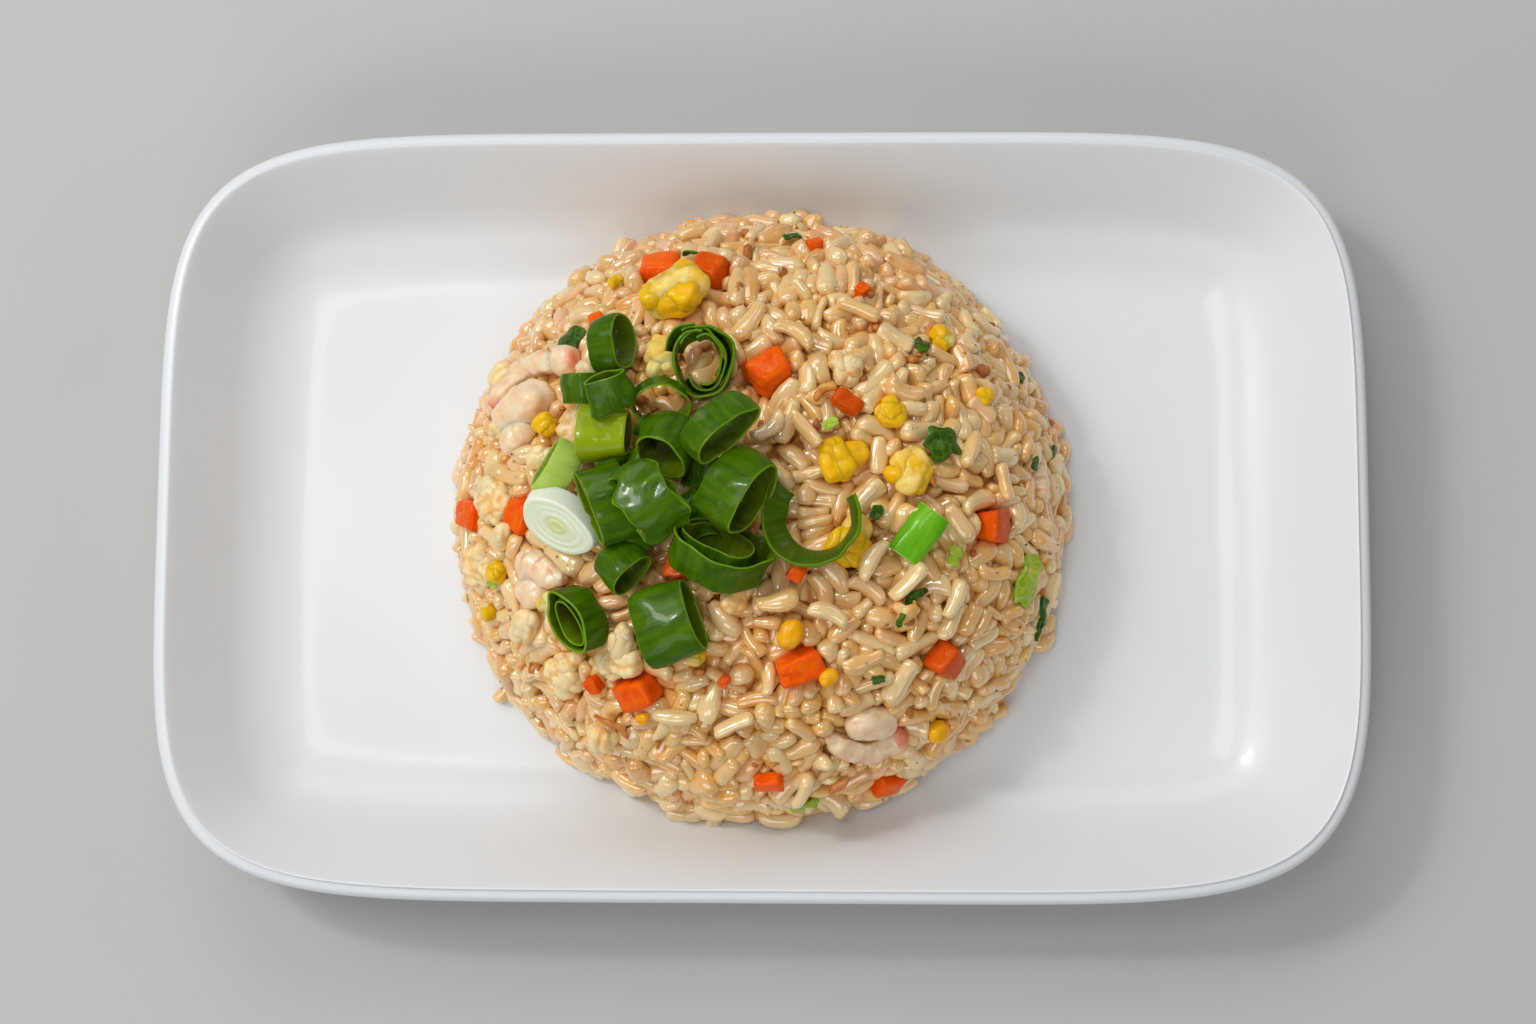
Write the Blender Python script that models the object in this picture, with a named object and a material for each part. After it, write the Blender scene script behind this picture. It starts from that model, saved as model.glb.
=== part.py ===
"""Fried rice heaped on an oblong porcelain plate, with scallion rings on the top.

Lengths below are in millimetres and are turned to metres when a mesh is made.
The origin is the middle of the plate's foot, +X runs along the plate, +Z is up.
"""
import random
from math import cos, pi, radians, sin

import bpy
import bmesh
import numpy as np
from mathutils import Vector
from mathutils.bvhtree import BVHTree

MM = 0.001

# Plate: an oblong with full round corners, one wall and one foot ring.
PLATE_HALF_LENGTH = 130.0
PLATE_HALF_WIDTH = 83.3
CORNER_POWER_X = 6.83
CORNER_POWER_Y = 4.69
RIM_HEIGHT = 26.5
FLOOR_TOP = 6.5
WALL = 4.5
WALL_SLOPE = radians(48.0)
FLOOR_FILLET = 24.0
FILLET_INSET = 31.8
FOOT_HEIGHT = 2.0
FOOT_INSET = 40.8
FOOT_FLAT = 4.0
PLATE_POINTS = 50

# Rice: one heap, taller in the middle, uneven all over.
HEAP_RADIUS = 66.6
HEAP_HEIGHT = 50.0
HEAP_CENTRE_Y = 0.8
HEAP_POWER = 2.4
PILE_CENTRE = (-14.0, -1.0)
PILE_SPREAD = 17.0
PILE_HOLLOW = 4.5
HEAP_POINTS = 40
HEAP_STEPS = (0.06, 0.17, 0.30, 0.43, 0.56, 0.68, 0.78, 0.87, 0.935, 0.985)
GRAIN_BUMP = 0.9
GAP = 0.3
POCKET_GAP = 0.45
SCALLION_WALL = 0.9
SPOTS = ((0.0, 0.0), (1.2, 0.0), (-1.2, 0.0), (0.0, 1.2), (0.0, -1.2),
         (1.7, 1.7), (-1.7, 1.7), (1.7, -1.7), (-1.7, -1.7), (2.4, 0.0), (-2.4, 0.0), (0.0, 2.4), (0.0, -2.4))

PORCELAIN = (0.86, 0.86, 0.84)
RICE = (0.80, 0.62, 0.40)
GREEN = (0.045, 0.17, 0.012)
LIGHT_GREEN = (0.12, 0.32, 0.02)
OLIVE = (0.27, 0.36, 0.01)
WHITE_STALK = (0.76, 0.80, 0.58)
CARROT = (0.86, 0.17, 0.01)
EGG = (0.90, 0.58, 0.08)
SHRIMP = (0.86, 0.56, 0.38)
BROWNED = (0.82, 0.50, 0.20)
LEAF = (0.03, 0.10, 0.015)
CABBAGE = (0.36, 0.50, 0.10)

solids = []


def clear_scene():
    """Remove everything that a new file holds."""
    for thing in list(bpy.data.objects):
        bpy.data.objects.remove(thing, do_unlink=True)


def make_material(name, colour, roughness):
    """A Principled material in one colour."""
    material = bpy.data.materials.new(name)
    material.use_nodes = True
    shader = material.node_tree.nodes["Principled BSDF"]
    shader.inputs["Base Color"].default_value = (*colour, 1.0)
    shader.inputs["Roughness"].default_value = roughness
    shader.inputs["Metallic"].default_value = 0.0
    return material


def make_object(name, points, faces, colour, roughness, sharp=40.0):
    """One closed object from points in millimetres, its faces turned outward."""
    mesh = bpy.data.meshes.new(name)
    mesh.from_pydata((np.asarray(points, float) * MM).tolist(), [], faces)
    shell = bmesh.new()
    shell.from_mesh(mesh)
    bmesh.ops.recalc_face_normals(shell, faces=shell.faces[:])
    if shell.calc_volume(signed=True) < 0:
        bmesh.ops.reverse_faces(shell, faces=shell.faces[:])
    bmesh.ops.triangulate(shell, faces=shell.faces[:])
    shell.to_mesh(mesh)
    shell.free()
    mesh.shade_smooth()
    mesh.set_sharp_from_angle(angle=radians(sharp))
    mesh.materials.append(make_material(name, colour, roughness))
    thing = bpy.data.objects.new(name, mesh)
    bpy.context.scene.collection.objects.link(thing)
    return thing


def bridge(rings, closed_length=False):
    """Quads between following rings of equal length, each ring a closed loop."""
    faces = []
    count = len(rings)
    size = len(rings[0])
    last = count if closed_length else count - 1
    for row in range(last):
        here = row * size
        there = ((row + 1) % count) * size
        for k in range(size):
            nxt = (k + 1) % size
            faces.append((here + k, here + nxt, there + nxt, there + k))
    return faces


# ---------------------------------------------------------------- plate

def plate_outline():
    """Points and inward directions round the rim, closer together at the corners."""
    t = np.linspace(0.0, 2.0 * pi, 4001)[:-1]
    x = PLATE_HALF_LENGTH * np.sign(np.cos(t)) * np.abs(np.cos(t)) ** (2.0 / CORNER_POWER_X)
    y = PLATE_HALF_WIDTH * np.sign(np.sin(t)) * np.abs(np.sin(t)) ** (2.0 / CORNER_POWER_Y)
    fx = CORNER_POWER_X * np.sign(x) * np.abs(x / PLATE_HALF_LENGTH) ** (CORNER_POWER_X - 1)
    fy = CORNER_POWER_Y * np.sign(y) * np.abs(y / PLATE_HALF_WIDTH) ** (CORNER_POWER_Y - 1)
    outward = np.stack([fx / PLATE_HALF_LENGTH, fy / PLATE_HALF_WIDTH], 1)
    outward /= np.linalg.norm(outward, axis=1)[:, None]
    rim = np.stack([x, y], 1)
    step = np.linalg.norm(np.roll(rim, -1, 0) - rim, axis=1)
    turn = np.arccos(np.clip((np.roll(outward, -1, 0) * outward).sum(1), -1.0, 1.0))
    weight = step / step.sum() + turn / turn.sum()
    along = np.concatenate([[0.0], np.cumsum(weight)])[:-1]
    pick = np.searchsorted(along, np.arange(PLATE_POINTS) * 2.0 / PLATE_POINTS)
    pick = np.clip(pick, 0, len(rim) - 1)
    return rim[pick], -outward[pick]


def plate_ring(inset, height, rim, inward):
    """A ring parallel to the rim; further in than 24 mm the last one is drawn in."""
    parallel = min(inset, 24.0)
    flat = rim + inward * parallel
    if inset > parallel:
        flat = flat * np.array([
            (PLATE_HALF_LENGTH - inset) / (PLATE_HALF_LENGTH - parallel),
            (PLATE_HALF_WIDTH - inset) / (PLATE_HALF_WIDTH - parallel),
        ])
    return np.column_stack([flat, np.full(len(flat), height)])


def fillet(radius, centre_height, angle):
    """Inset and height on a fillet whose lowest point is at the floor's edge."""
    return FILLET_INSET - radius * sin(angle), centre_height - radius * cos(angle)


def plate_section():
    """Inset and height, from the foot out under the wall, over the rim and in."""
    centre = FLOOR_TOP + FLOOR_FILLET
    angles = [WALL_SLOPE * k / 4.0 for k in (1, 2, 3, 4)]
    section = [
        (FOOT_INSET + FOOT_FLAT / 2 + 1.2, FOOT_HEIGHT),
        (FOOT_INSET + FOOT_FLAT / 2, 0.0),
        (FOOT_INSET - FOOT_FLAT / 2, 0.0),
        (FOOT_INSET - FOOT_FLAT / 2 - 1.2, FOOT_HEIGHT),
    ]
    section += [fillet(FLOOR_FILLET + WALL, centre, angle) for angle in angles]
    section += [(1.3, RIM_HEIGHT - 4.7), (0.15, RIM_HEIGHT - 2.9), (0.0, RIM_HEIGHT - 1.7)]
    section += [(0.75, RIM_HEIGHT - 0.5), (2.3, RIM_HEIGHT)]
    section += [(3.8, RIM_HEIGHT - 0.4), (4.6, RIM_HEIGHT - 1.6)]
    section += [fillet(FLOOR_FILLET, centre, angle) for angle in reversed(angles)]
    section += [(FILLET_INSET, FLOOR_TOP)]
    return section


def make_plate():
    """The plate: rings round its section, closed by a flat floor above and below."""
    rim, inward = plate_outline()
    rings = [plate_ring(inset, height, rim, inward) for inset, height in plate_section()]
    faces = bridge(rings)
    faces.append(tuple(range(PLATE_POINTS)))
    start = (len(rings) - 1) * PLATE_POINTS
    faces.append(tuple(start + k for k in range(PLATE_POINTS)))
    return make_object("plate", np.concatenate(rings), faces, PORCELAIN, 0.12, 60.0)


# ---------------------------------------------------------------- rice

def pile_hollow(x, y):
    """How far the scallions press the top of the heap down."""
    away = (x - PILE_CENTRE[0]) ** 2 + (y - PILE_CENTRE[1]) ** 2
    return PILE_HOLLOW * np.exp(-away / (2.0 * PILE_SPREAD ** 2))


def heap_height(x, y):
    """Height of the smooth heap above a point of the table."""
    part = np.hypot(x, y - HEAP_CENTRE_Y) / HEAP_RADIUS
    full = HEAP_HEIGHT * np.sqrt(np.clip(1.0 - part ** HEAP_POWER, 0.0, 1.0))
    return FLOOR_TOP + full - pile_hollow(x, y)


def heap_normal(x, y):
    """Outward direction of the smooth heap."""
    slope_x = (heap_height(x + 0.5, y) - heap_height(x - 0.5, y))
    slope_y = (heap_height(x, y + 0.5) - heap_height(x, y - 0.5))
    normal = np.array([-slope_x, -slope_y, 1.0])
    return normal / np.linalg.norm(normal)


def tree_of(thing):
    """A search tree over an object's faces, in metres."""
    points = [v.co.copy() for v in thing.data.vertices]
    return BVHTree.FromPolygons(points, [tuple(p.vertices) for p in thing.data.polygons])


def height_of(tree, x, y):
    """Height of a surface straight below a point, in millimetres."""
    hit = tree.ray_cast(Vector((x * MM, y * MM, 0.2)), Vector((0.0, 0.0, -1.0)))
    return hit[0].z / MM if hit[0] is not None else FLOOR_TOP


def make_rice(plate):
    """The heap: uneven rings over the top, and an underside that lies on the plate."""
    chance = random.Random(11)
    below = tree_of(plate)
    angles = np.arange(HEAP_POINTS) * 2.0 * pi / HEAP_POINTS
    rings = [[] for _ in range(len(HEAP_STEPS) + 4)]
    for angle in angles:
        wave = 1.0 + 0.008 * sin(5 * angle + 1.0) + 0.006 * sin(9 * angle) + 0.008 * sin(14 * angle + 2.0)
        wave += chance.uniform(-0.006, 0.006)
        across = np.array([cos(angle), sin(angle)])
        middle = np.array([0.0, HEAP_CENTRE_Y])
        for row, share in enumerate((0.55, 0.78, 0.93)):
            x, y = middle + across * HEAP_RADIUS * wave * share
            rings[row].append((x, y, height_of(below, x, y) + 0.4))
        x, y = middle + across * (HEAP_RADIUS * wave - 1.6)
        foot = height_of(below, x, y) + 0.4
        rings[3].append((x, y, foot))
        for row, share in enumerate(HEAP_STEPS):
            height = foot + (FLOOR_TOP + HEAP_HEIGHT - foot) * share
            part = (height - FLOOR_TOP) / HEAP_HEIGHT
            radius = HEAP_RADIUS * wave * (1.0 - part ** 2) ** (1.0 / HEAP_POWER)
            bump = chance.uniform(-GRAIN_BUMP, GRAIN_BUMP) * (0.5 if row == 0 else 1.0)
            radius += bump * (1.0 - part) ** 0.5
            x, y = middle + across * radius
            rings[4 + row].append((x, y, height + bump * part - pile_hollow(x, y)))
    points = np.concatenate([np.array(ring) for ring in rings])
    faces = bridge(rings)
    faces.append(tuple(range(HEAP_POINTS)))
    top = len(points)
    points = np.vstack([points, [0.0, HEAP_CENTRE_Y, float(heap_height(0.0, HEAP_CENTRE_Y))]])
    start = (len(rings) - 1) * HEAP_POINTS
    for k in range(HEAP_POINTS):
        faces.append((start + k, start + (k + 1) % HEAP_POINTS, top))
    return make_object("rice", points, faces, RICE, 0.45, 80.0)


# ---------------------------------------------------------------- shapes of the toppings

def turn(points, about, degrees):
    """Points turned about one axis, 0 for x, 1 for y, 2 for z."""
    angle = radians(degrees)
    first, second = [(1, 2), (2, 0), (0, 1)][about]
    turned = np.array(points, float)
    a = turned[:, first].copy()
    b = turned[:, second].copy()
    turned[:, first] = a * cos(angle) - b * sin(angle)
    turned[:, second] = a * sin(angle) + b * cos(angle)
    return turned


def lump(length, width, height, seed, rough=0.14, points=8, rows=6):
    """A rounded lump: an ellipsoid with each ring and point pushed in or out a little."""
    chance = random.Random(seed)
    phase = [chance.uniform(0.0, 6.28) for _ in range(4)]
    rings = []
    for row in range(1, rows):
        polar = pi * row / rows
        ring = []
        for k in range(points):
            angle = 2.0 * pi * k / points
            swell = 1.0 + rough * sin(2 * angle + phase[0] + polar) * sin(polar)
            swell += rough * 0.7 * sin(3 * angle + phase[1]) * sin(2 * polar + phase[2])
            swell += chance.uniform(-0.3, 0.3) * rough
            flat = sin(polar) ** 0.85 * swell
            ring.append((
                length / 2 * flat * cos(angle),
                width / 2 * flat * sin(angle),
                height / 2 * cos(polar) * (1.0 + 0.3 * rough * sin(angle + phase[3])),
            ))
        rings.append(ring)
    faces = bridge(rings)
    shape = np.concatenate([np.array(ring) for ring in rings])
    top = len(shape)
    shape = np.vstack([shape, [0, 0, height / 2], [0, 0, -height / 2]])
    start = (len(rings) - 1) * points
    for k in range(points):
        nxt = (k + 1) % points
        faces.append((k, nxt, top))
        faces.append((start + k, start + nxt, top + 1))
    return shape, faces


def dice(length, width, height, seed, bevel=0.17):
    """A cut cube with its edges rounded off and its corners not quite square."""
    chance = random.Random(seed)
    size = np.array([length, width, height]) / 2.0
    corners = [(a, b, c) for a in (-1, 1) for b in (-1, 1) for c in (-1, 1)]
    cut = min(length, width, height) * bevel
    shape = []
    for corner in corners:
        out = np.array(corner) * size * np.array([chance.uniform(0.86, 1.0) for _ in range(3)])
        for axis in range(3):
            point = out - np.array(corner) * cut
            point[axis] = out[axis]
            shape.append(point)
    index = {corner: 3 * k for k, corner in enumerate(corners)}
    faces = []
    for corner in corners:
        faces.append(tuple(index[corner] + axis for axis in range(3)))
    for axis in range(3):
        first, second = [(1, 2), (2, 0), (0, 1)][axis]
        for side in (-1, 1):
            loop = []
            for a, b in ((-1, -1), (1, -1), (1, 1), (-1, 1)):
                corner = [0, 0, 0]
                corner[axis] = side
                corner[first] = a
                corner[second] = b
                loop.append(index[tuple(corner)] + axis)
            faces.append(tuple(loop))
        for a in (-1, 1):
            for b in (-1, 1):
                low = [0, 0, 0]
                low[axis] = -1
                low[first] = a
                low[second] = b
                high = list(low)
                high[axis] = 1
                low = index[tuple(low)]
                high = index[tuple(high)]
                faces.append((low + first, low + second, high + second, high + first))
    return np.array(shape), faces


def finger(length, thick, bend, lobes, seed, points=7, rows=8):
    """A curled finger of flesh: a bent round bar that swells into a few lobes."""
    chance = random.Random(seed)
    rings = []
    for row in range(rows):
        along = row / (rows - 1)
        angle = radians(bend) * (along - 0.5)
        reach = length / max(radians(bend), 0.05)
        centre = np.array([reach * sin(angle), reach * (cos(angle) - 1.0), 0.0])
        outward = np.array([sin(angle), cos(angle), 0.0])
        round_end = max(1.0 - (2.0 * along - 1.0) ** 4, 0.06) ** 0.5
        size = thick / 2 * round_end * (1.0 + 0.10 * cos(2.0 * pi * lobes * along))
        size *= 1.0 - 0.25 * along
        ring = []
        for k in range(points):
            turnaround = 2.0 * pi * k / points
            reach_out = size * chance.uniform(0.95, 1.04)
            ring.append(centre + outward * cos(turnaround) * reach_out
                        + np.array([0.0, 0.0, 0.85 * reach_out * sin(turnaround)]))
        rings.append(np.array(ring))
    faces = bridge(rings)
    faces.append(tuple(range(points)))
    start = (rows - 1) * points
    faces.append(tuple(start + k for k in range(points)))
    return np.concatenate(rings), faces


def oval(half_a, half_b, points=12, dent=0.0, dent_at=0.0):
    """A closed oval path; a dent folds one side of it inward."""
    path = []
    for k in range(points):
        angle = 2.0 * pi * k / points
        size = 1.0 - dent * max(0.0, cos(angle - radians(dent_at))) ** 3
        path.append((half_a * cos(angle) * size, half_b * sin(angle) * size))
    return np.array(path)


def curl(half_a, half_b, start, sweep, shrink=0.0, points=15):
    """An open path round part of an oval, drawing inward as it goes."""
    path = []
    for k in range(points):
        part = k / (points - 1)
        angle = radians(start + sweep * part)
        size = 1.0 - shrink * part
        path.append((half_a * cos(angle) * size, half_b * sin(angle) * size))
    return np.array(path)


def hollow(path, length, closed=True, lean=(0.0, 0.0), slant=0.0, wall=SCALLION_WALL):
    """A thin wall standing on a path: a ring of stalk, or an open strip of one.

    The wall leans outward by the first angle where the path starts and by the
    second where it ends, and the slant raises both cut ends along the path's
    first axis.
    """
    count = len(path)
    if closed:
        tangent = np.roll(path, -1, 0) - np.roll(path, 1, 0)
    else:
        tangent = np.gradient(path, axis=0)
    tangent /= np.linalg.norm(tangent, axis=1)[:, None]
    out = np.column_stack([tangent[:, 1], -tangent[:, 0]])
    if (out * path).sum() < 0:
        out = -out
    rings = []
    for k in range(count):
        angle = radians(lean[0] + (lean[1] - lean[0]) * k / (count - 1))
        face = np.array([out[k][0] * cos(angle), out[k][1] * cos(angle), -sin(angle)])
        rise = np.array([out[k][0] * sin(angle), out[k][1] * sin(angle), cos(angle)])
        middle = np.array([path[k][0], path[k][1], slant * path[k][0]])
        ring = [middle + face * side * wall / 2 + rise * end * length / 2
                for side, end in ((1, -1), (1, 1), (-1, 1), (-1, -1))]
        rings.append(np.array(ring))
    faces = bridge(rings, closed_length=closed)
    if not closed:
        faces.append((0, 1, 2, 3))
        faces.append(tuple(4 * (count - 1) + k for k in range(4)))
    return np.concatenate(rings), faces


def slab(half_a, half_b, thick, points=14, draw=0.9, power=2.0):
    """A solid slice with a flat face each side, a little smaller on its upper face."""
    rings = []
    for size, height in ((1.0, -thick / 2), (1.0, thick * 0.2), (draw, thick / 2)):
        ring = []
        for k in range(points):
            angle = 2.0 * pi * k / points
            a = np.sign(cos(angle)) * abs(cos(angle)) ** (2.0 / power)
            b = np.sign(sin(angle)) * abs(sin(angle)) ** (2.0 / power)
            ring.append((half_a * a * size, half_b * b * size, height))
        rings.append(ring)
    faces = bridge(rings)
    faces.append(tuple(range(points)))
    start = (len(rings) - 1) * points
    faces.append(tuple(start + k for k in range(points)))
    return np.concatenate([np.array(ring) for ring in rings]), faces


# ---------------------------------------------------------------- placing them

def facing(points, azimuth, elevation, spin=0.0):
    """Turn a shape so that its own z axis faces a way round and a height above level."""
    points = turn(points, 2, spin)
    across = np.array([-sin(radians(azimuth)), cos(radians(azimuth)), 0.0])
    axis = np.array([
        cos(radians(elevation)) * cos(radians(azimuth)),
        cos(radians(elevation)) * sin(radians(azimuth)),
        sin(radians(elevation)),
    ])
    upward = np.cross(axis, across)
    return points[:, :1] * across + points[:, 1:2] * upward + points[:, 2:3] * axis


def grown(points, faces, by):
    """The same closed shape with every point moved out along the surface."""
    mesh = bpy.data.meshes.new("grown")
    mesh.from_pydata(points.tolist(), [], faces)
    shell = bmesh.new()
    shell.from_mesh(mesh)
    bmesh.ops.recalc_face_normals(shell, faces=shell.faces[:])
    if shell.calc_volume(signed=True) < 0:
        bmesh.ops.reverse_faces(shell, faces=shell.faces[:])
    shell.normal_update()
    moved = []
    for vertex in shell.verts:
        vertex.normal_update()
        moved.append(tuple(vertex.co + vertex.normal * by * vertex.calc_shell_factor()))
    shell.free()
    bpy.data.meshes.remove(mesh)
    return np.array(moved)


def clashes(points, faces, trees):
    """Whether a shape comes closer to any placed one than the gap."""
    around = grown(points, faces, GAP)
    mine = BVHTree.FromPolygons([Vector(p * MM) for p in around], faces)
    return any(mine.overlap(tree) for tree in trees)


def bed(name, shape, x, y, sink, colour, roughness, yaw=0.0, pitch=0.0, roll=0.0):
    """Set a topping into the rice, square to the heap, in a pocket of its own."""
    points, faces = shape
    points = turn(turn(turn(points, 0, roll), 1, pitch), 2, yaw)
    up = heap_normal(x, y)
    side = np.cross(np.array([0.0, 1.0, 0.0]), up)
    side /= np.linalg.norm(side)
    ahead = np.cross(up, side)
    points = points[:, :1] * side + points[:, 1:2] * ahead + points[:, 2:3] * up
    points = points + np.array([x, y, float(heap_height(x, y))])
    depth = -sink
    while clashes(points + up * depth, faces, solids):
        depth += 0.3
    points = points + up * depth
    thing = make_object(name, points, faces, colour, roughness, 35.0)
    solids.append(tree_of(thing))
    pocket = make_object(name + "_pocket", grown(points, faces, POCKET_GAP), faces, colour, roughness)
    bpy.context.scene.collection.objects.unlink(pocket)
    pockets.objects.link(pocket)
    pocket.hide_render = True
    pocket.display_type = "WIRE"


def lowest(points, faces, start):
    """How far a shape can be lowered before it meets what lies below."""
    down = np.array([0.0, 0.0, 1.0])
    drop = 0.0
    for step in (1.2, 0.3):
        while drop < start and not clashes(points - down * (drop + step), faces, solids + [rice_tree]):
            drop += step
    return drop


def rest(name, shape, x, y, azimuth, elevation, colour, spin=0.0, roughness=0.32):
    """Lower a topping until it is just clear, on whichever spot close by is lowest."""
    loose, faces = shape
    ground = float(heap_height(x, y)) + 20.0
    best = None
    for nod in (0.0, -11.0, 11.0):
        points = facing(loose, azimuth, elevation + nod, spin)
        for aside, along in SPOTS:
            shift = np.array([aside, along, 0.0])
            placed = points + shift + np.array([x, y, ground])
            drop = lowest(placed, faces, 30.0)
            middle = placed[:, 2].mean() - drop
            score = middle + 0.35 * np.linalg.norm(shift) + 0.03 * abs(nod)
            if best is None or score < best[0]:
                best = (score, placed - np.array([0.0, 0.0, drop]))
    thing = make_object(name, best[1], faces, colour, roughness, 35.0)
    solids.append(tree_of(thing))


clear_scene()
plate = make_plate()
rice = make_rice(plate)
rice_tree = tree_of(rice)
pockets = bpy.data.collections.new("pockets")
bpy.context.scene.collection.children.link(pockets)

# Carrot: cut dice, some only half above the rice.
for number, (x, y, length, width, height, yaw, tilt) in enumerate((
    (-20.8, 51.4, 8.6, 6.0, 6.0, 8.0, 6.0),
    (-10.2, 49.6, 7.4, 6.2, 6.0, -20.0, 10.0),
    (2.2, 25.7, 8.2, 7.6, 6.4, 35.0, 8.0),
    (-24.5, -40.7, 8.4, 6.4, 6.0, 15.0, -8.0),
    (9.7, -35.4, 9.4, 6.2, 6.0, 22.0, 5.0),
    (49.7, -5.2, 6.6, 6.4, 6.0, 5.0, 12.0),
    (27.8, -58.3, 7.0, 5.6, 5.4, 30.0, 0.0),
    (39.8, -33.2, 7.2, 6.2, 5.6, -25.0, 15.0),
    (-62.6, -1.1, 7.2, 6.0, 5.6, -15.0, 6.0),
    (-49.7, -3.0, 6.6, 6.4, 5.6, 60.0, -12.0),
), 1):
    bed(f"carrot_{number:02d}", dice(length, width, height, number), x, y, height * 0.22,
        CARROT, 0.3, yaw, tilt)

# Egg: soft scrambled pieces.
for number, (x, y, length, width, height, yaw, tilt) in enumerate((
    (-16.9, 42.6, 15.5, 11.0, 8.0, 62.0, 4.0),
    (-19.6, 29.6, 11.5, 7.0, 6.0, 108.0, 0.0),
    (18.6, 6.8, 12.5, 7.0, 6.4, 12.0, 6.0),
    (32.0, 4.7, 12.5, 7.6, 6.6, 100.0, -6.0),
    (19.3, -9.3, 12.5, 9.0, 6.6, 75.0, 0.0),
    (28.1, 18.0, 7.4, 6.0, 5.6, 90.0, 0.0),
    (39.1, 35.0, 6.8, 6.0, 5.6, 10.0, 10.0),
), 1):
    bed(f"egg_{number:02d}", lump(length, width, height, number + 20), x, y, height * 0.2,
        EGG, 0.38, yaw, tilt)

# Shrimp: curled, in two or three lobes.
for number, (x, y, length, thick, bend, yaw, tilt) in enumerate((
    (-46.6, 23.8, 17.5, 7.6, 165.0, -42.0, 0.0),
    (23.6, -50.0, 17.5, 8.2, 60.0, 196.0, 0.0),
    (-45.5, -16.6, 13.5, 8.0, 25.0, -24.0, 0.0),
    (61.0, 6.9, 10.5, 6.4, 30.0, 95.0, 0.0),
), 1):
    bed(f"shrimp_{number:02d}", finger(length, thick, bend, 2, number + 40), x, y, thick * 0.22,
        SHRIMP, 0.33, yaw, tilt)

# Browned pieces: fried bits with a crumbly face.
for number, (x, y, length, width, height, yaw, tilt) in enumerate((
    (-56.0, 0.9, 11.0, 9.0, 6.4, 50.0, 0.0),
    (-59.4, -12.6, 11.0, 8.0, 6.0, 70.0, 0.0),
    (-40.2, -36.4, 13.0, 6.6, 6.0, 55.0, 0.0),
    (-28.3, -33.4, 11.0, 7.4, 6.0, 15.0, 0.0),
    (-37.4, 15.2, 9.6, 6.4, 6.0, 95.0, 0.0),
    (19.4, 26.4, 8.2, 6.2, 5.6, 35.0, 0.0),
), 1):
    bed(f"browned_piece_{number:02d}", lump(length, width, height, number + 60, 0.2), x, y,
        height * 0.2, BROWNED, 0.5, yaw, tilt)

# Leaves: one pale and two dark scraps, pressed into the side.
bed("pale_leaf", slab(5.6, 3.6, 2.2, 12, 0.85, 2.6), 57.1, -15.5, -0.3, CABBAGE, 0.35, 80.0)
bed("dark_leaf_01", slab(3.8, 3.4, 1.8, 10, 0.85, 3.0), 38.6, 10.8, -0.3, LEAF, 0.35, 20.0)
bed("dark_leaf_02", slab(3.6, 3.0, 1.8, 10, 0.85, 3.0), -39.2, 34.4, -0.3, LEAF, 0.35, 65.0)

# White stalk: two solid slices.
rest("stalk_slice_01", slab(9.2, 5.3, 4.4), -38.9, -5.4, -114.0, 60.0, WHITE_STALK)
rest("stalk_slice_02", slab(5.8, 3.4, 2.6), -38.0, 5.4, 80.0, 74.0, LIGHT_GREEN)

# Scallion: hollow rings and curled strips, the lowest first.
rest("scallion_01", hollow(oval(5.2, 3.3), 3.0), -19.0, 18.6, -82.0, 62.0, GREEN)
rest("scallion_02", hollow(curl(5.2, 6.4, 130.0, -470.0, 0.35, 18), 4.8, False, (16.0, 0.0)), -12.6, 26.4, -90.0, 80.0, GREEN)
rest("scallion_03", hollow(oval(3.3, 2.5), 6.0), -34.4, 20.4, 92.0, 8.0, GREEN)
rest("scallion_04", hollow(oval(4.9, 3.0), 10.0, True, (-8.0, -8.0)), -30.6, 10.8, -4.0, 14.0, OLIVE)
rest("scallion_05", hollow(curl(7.6, 8.2, 138.0, 250.0, 0.0, 14), 4.6, False, (58.0, 12.0)), 12.4, -5.2, -90.0, 84.0, LIGHT_GREEN)
rest("scallion_06", hollow(oval(2.9, 1.5), 11.0), 32.0, -6.5, 54.0, 6.0, LIGHT_GREEN)
rest("scallion_07", hollow(oval(6.5, 3.8), 6.4), -34.3, -23.8, -150.0, 52.0, GREEN)
rest("scallion_08", hollow(oval(7.2, 4.0), 11.2), -17.2, -27.0, 20.0, 16.0, GREEN)
rest("scallion_09", hollow(oval(4.3, 2.8), 6.6), -25.4, -14.8, -44.0, 24.0, GREEN)
rest("scallion_10", hollow(oval(7.6, 3.0, 12, 0.15, 200.0), 8.0), -29.6, 0.6, -157.0, 14.0, GREEN)
rest("scallion_11", hollow(oval(4.6, 3.7), 5.4), -29.6, 29.0, 2.0, 35.0, GREEN)
rest("scallion_12", hollow(oval(3.8, 2.4, 12, 0.3, 90.0), 6.4), -27.4, 17.8, 110.0, 30.0, GREEN)
rest("scallion_13", hollow(oval(10.8, 5.6, 16, 0.25, 150.0), 6.8), -4.4, -13.6, 72.0, 62.0, GREEN, 8.0)
rest("scallion_14", hollow(oval(4.8, 4.4), 7.4), -17.0, 11.8, -118.0, 32.0, GREEN)
rest("scallion_15", hollow(oval(6.8, 3.4, 12, 0.2, 60.0), 6.0), -9.0, 12.2, -46.0, 34.0, GREEN)
rest("scallion_16", hollow(oval(7.0, 3.1, 10), 8.8), -20.6, -4.0, 30.0, 8.0, GREEN)
rest("scallion_17", hollow(oval(6.9, 3.9), 9.0), -4.6, -0.2, -34.0, 28.0, GREEN)

cut = rice.modifiers.new("pockets", "BOOLEAN")
cut.operation = "DIFFERENCE"
cut.operand_type = "COLLECTION"
cut.collection = pockets
cut.solver = "EXACT"
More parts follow.
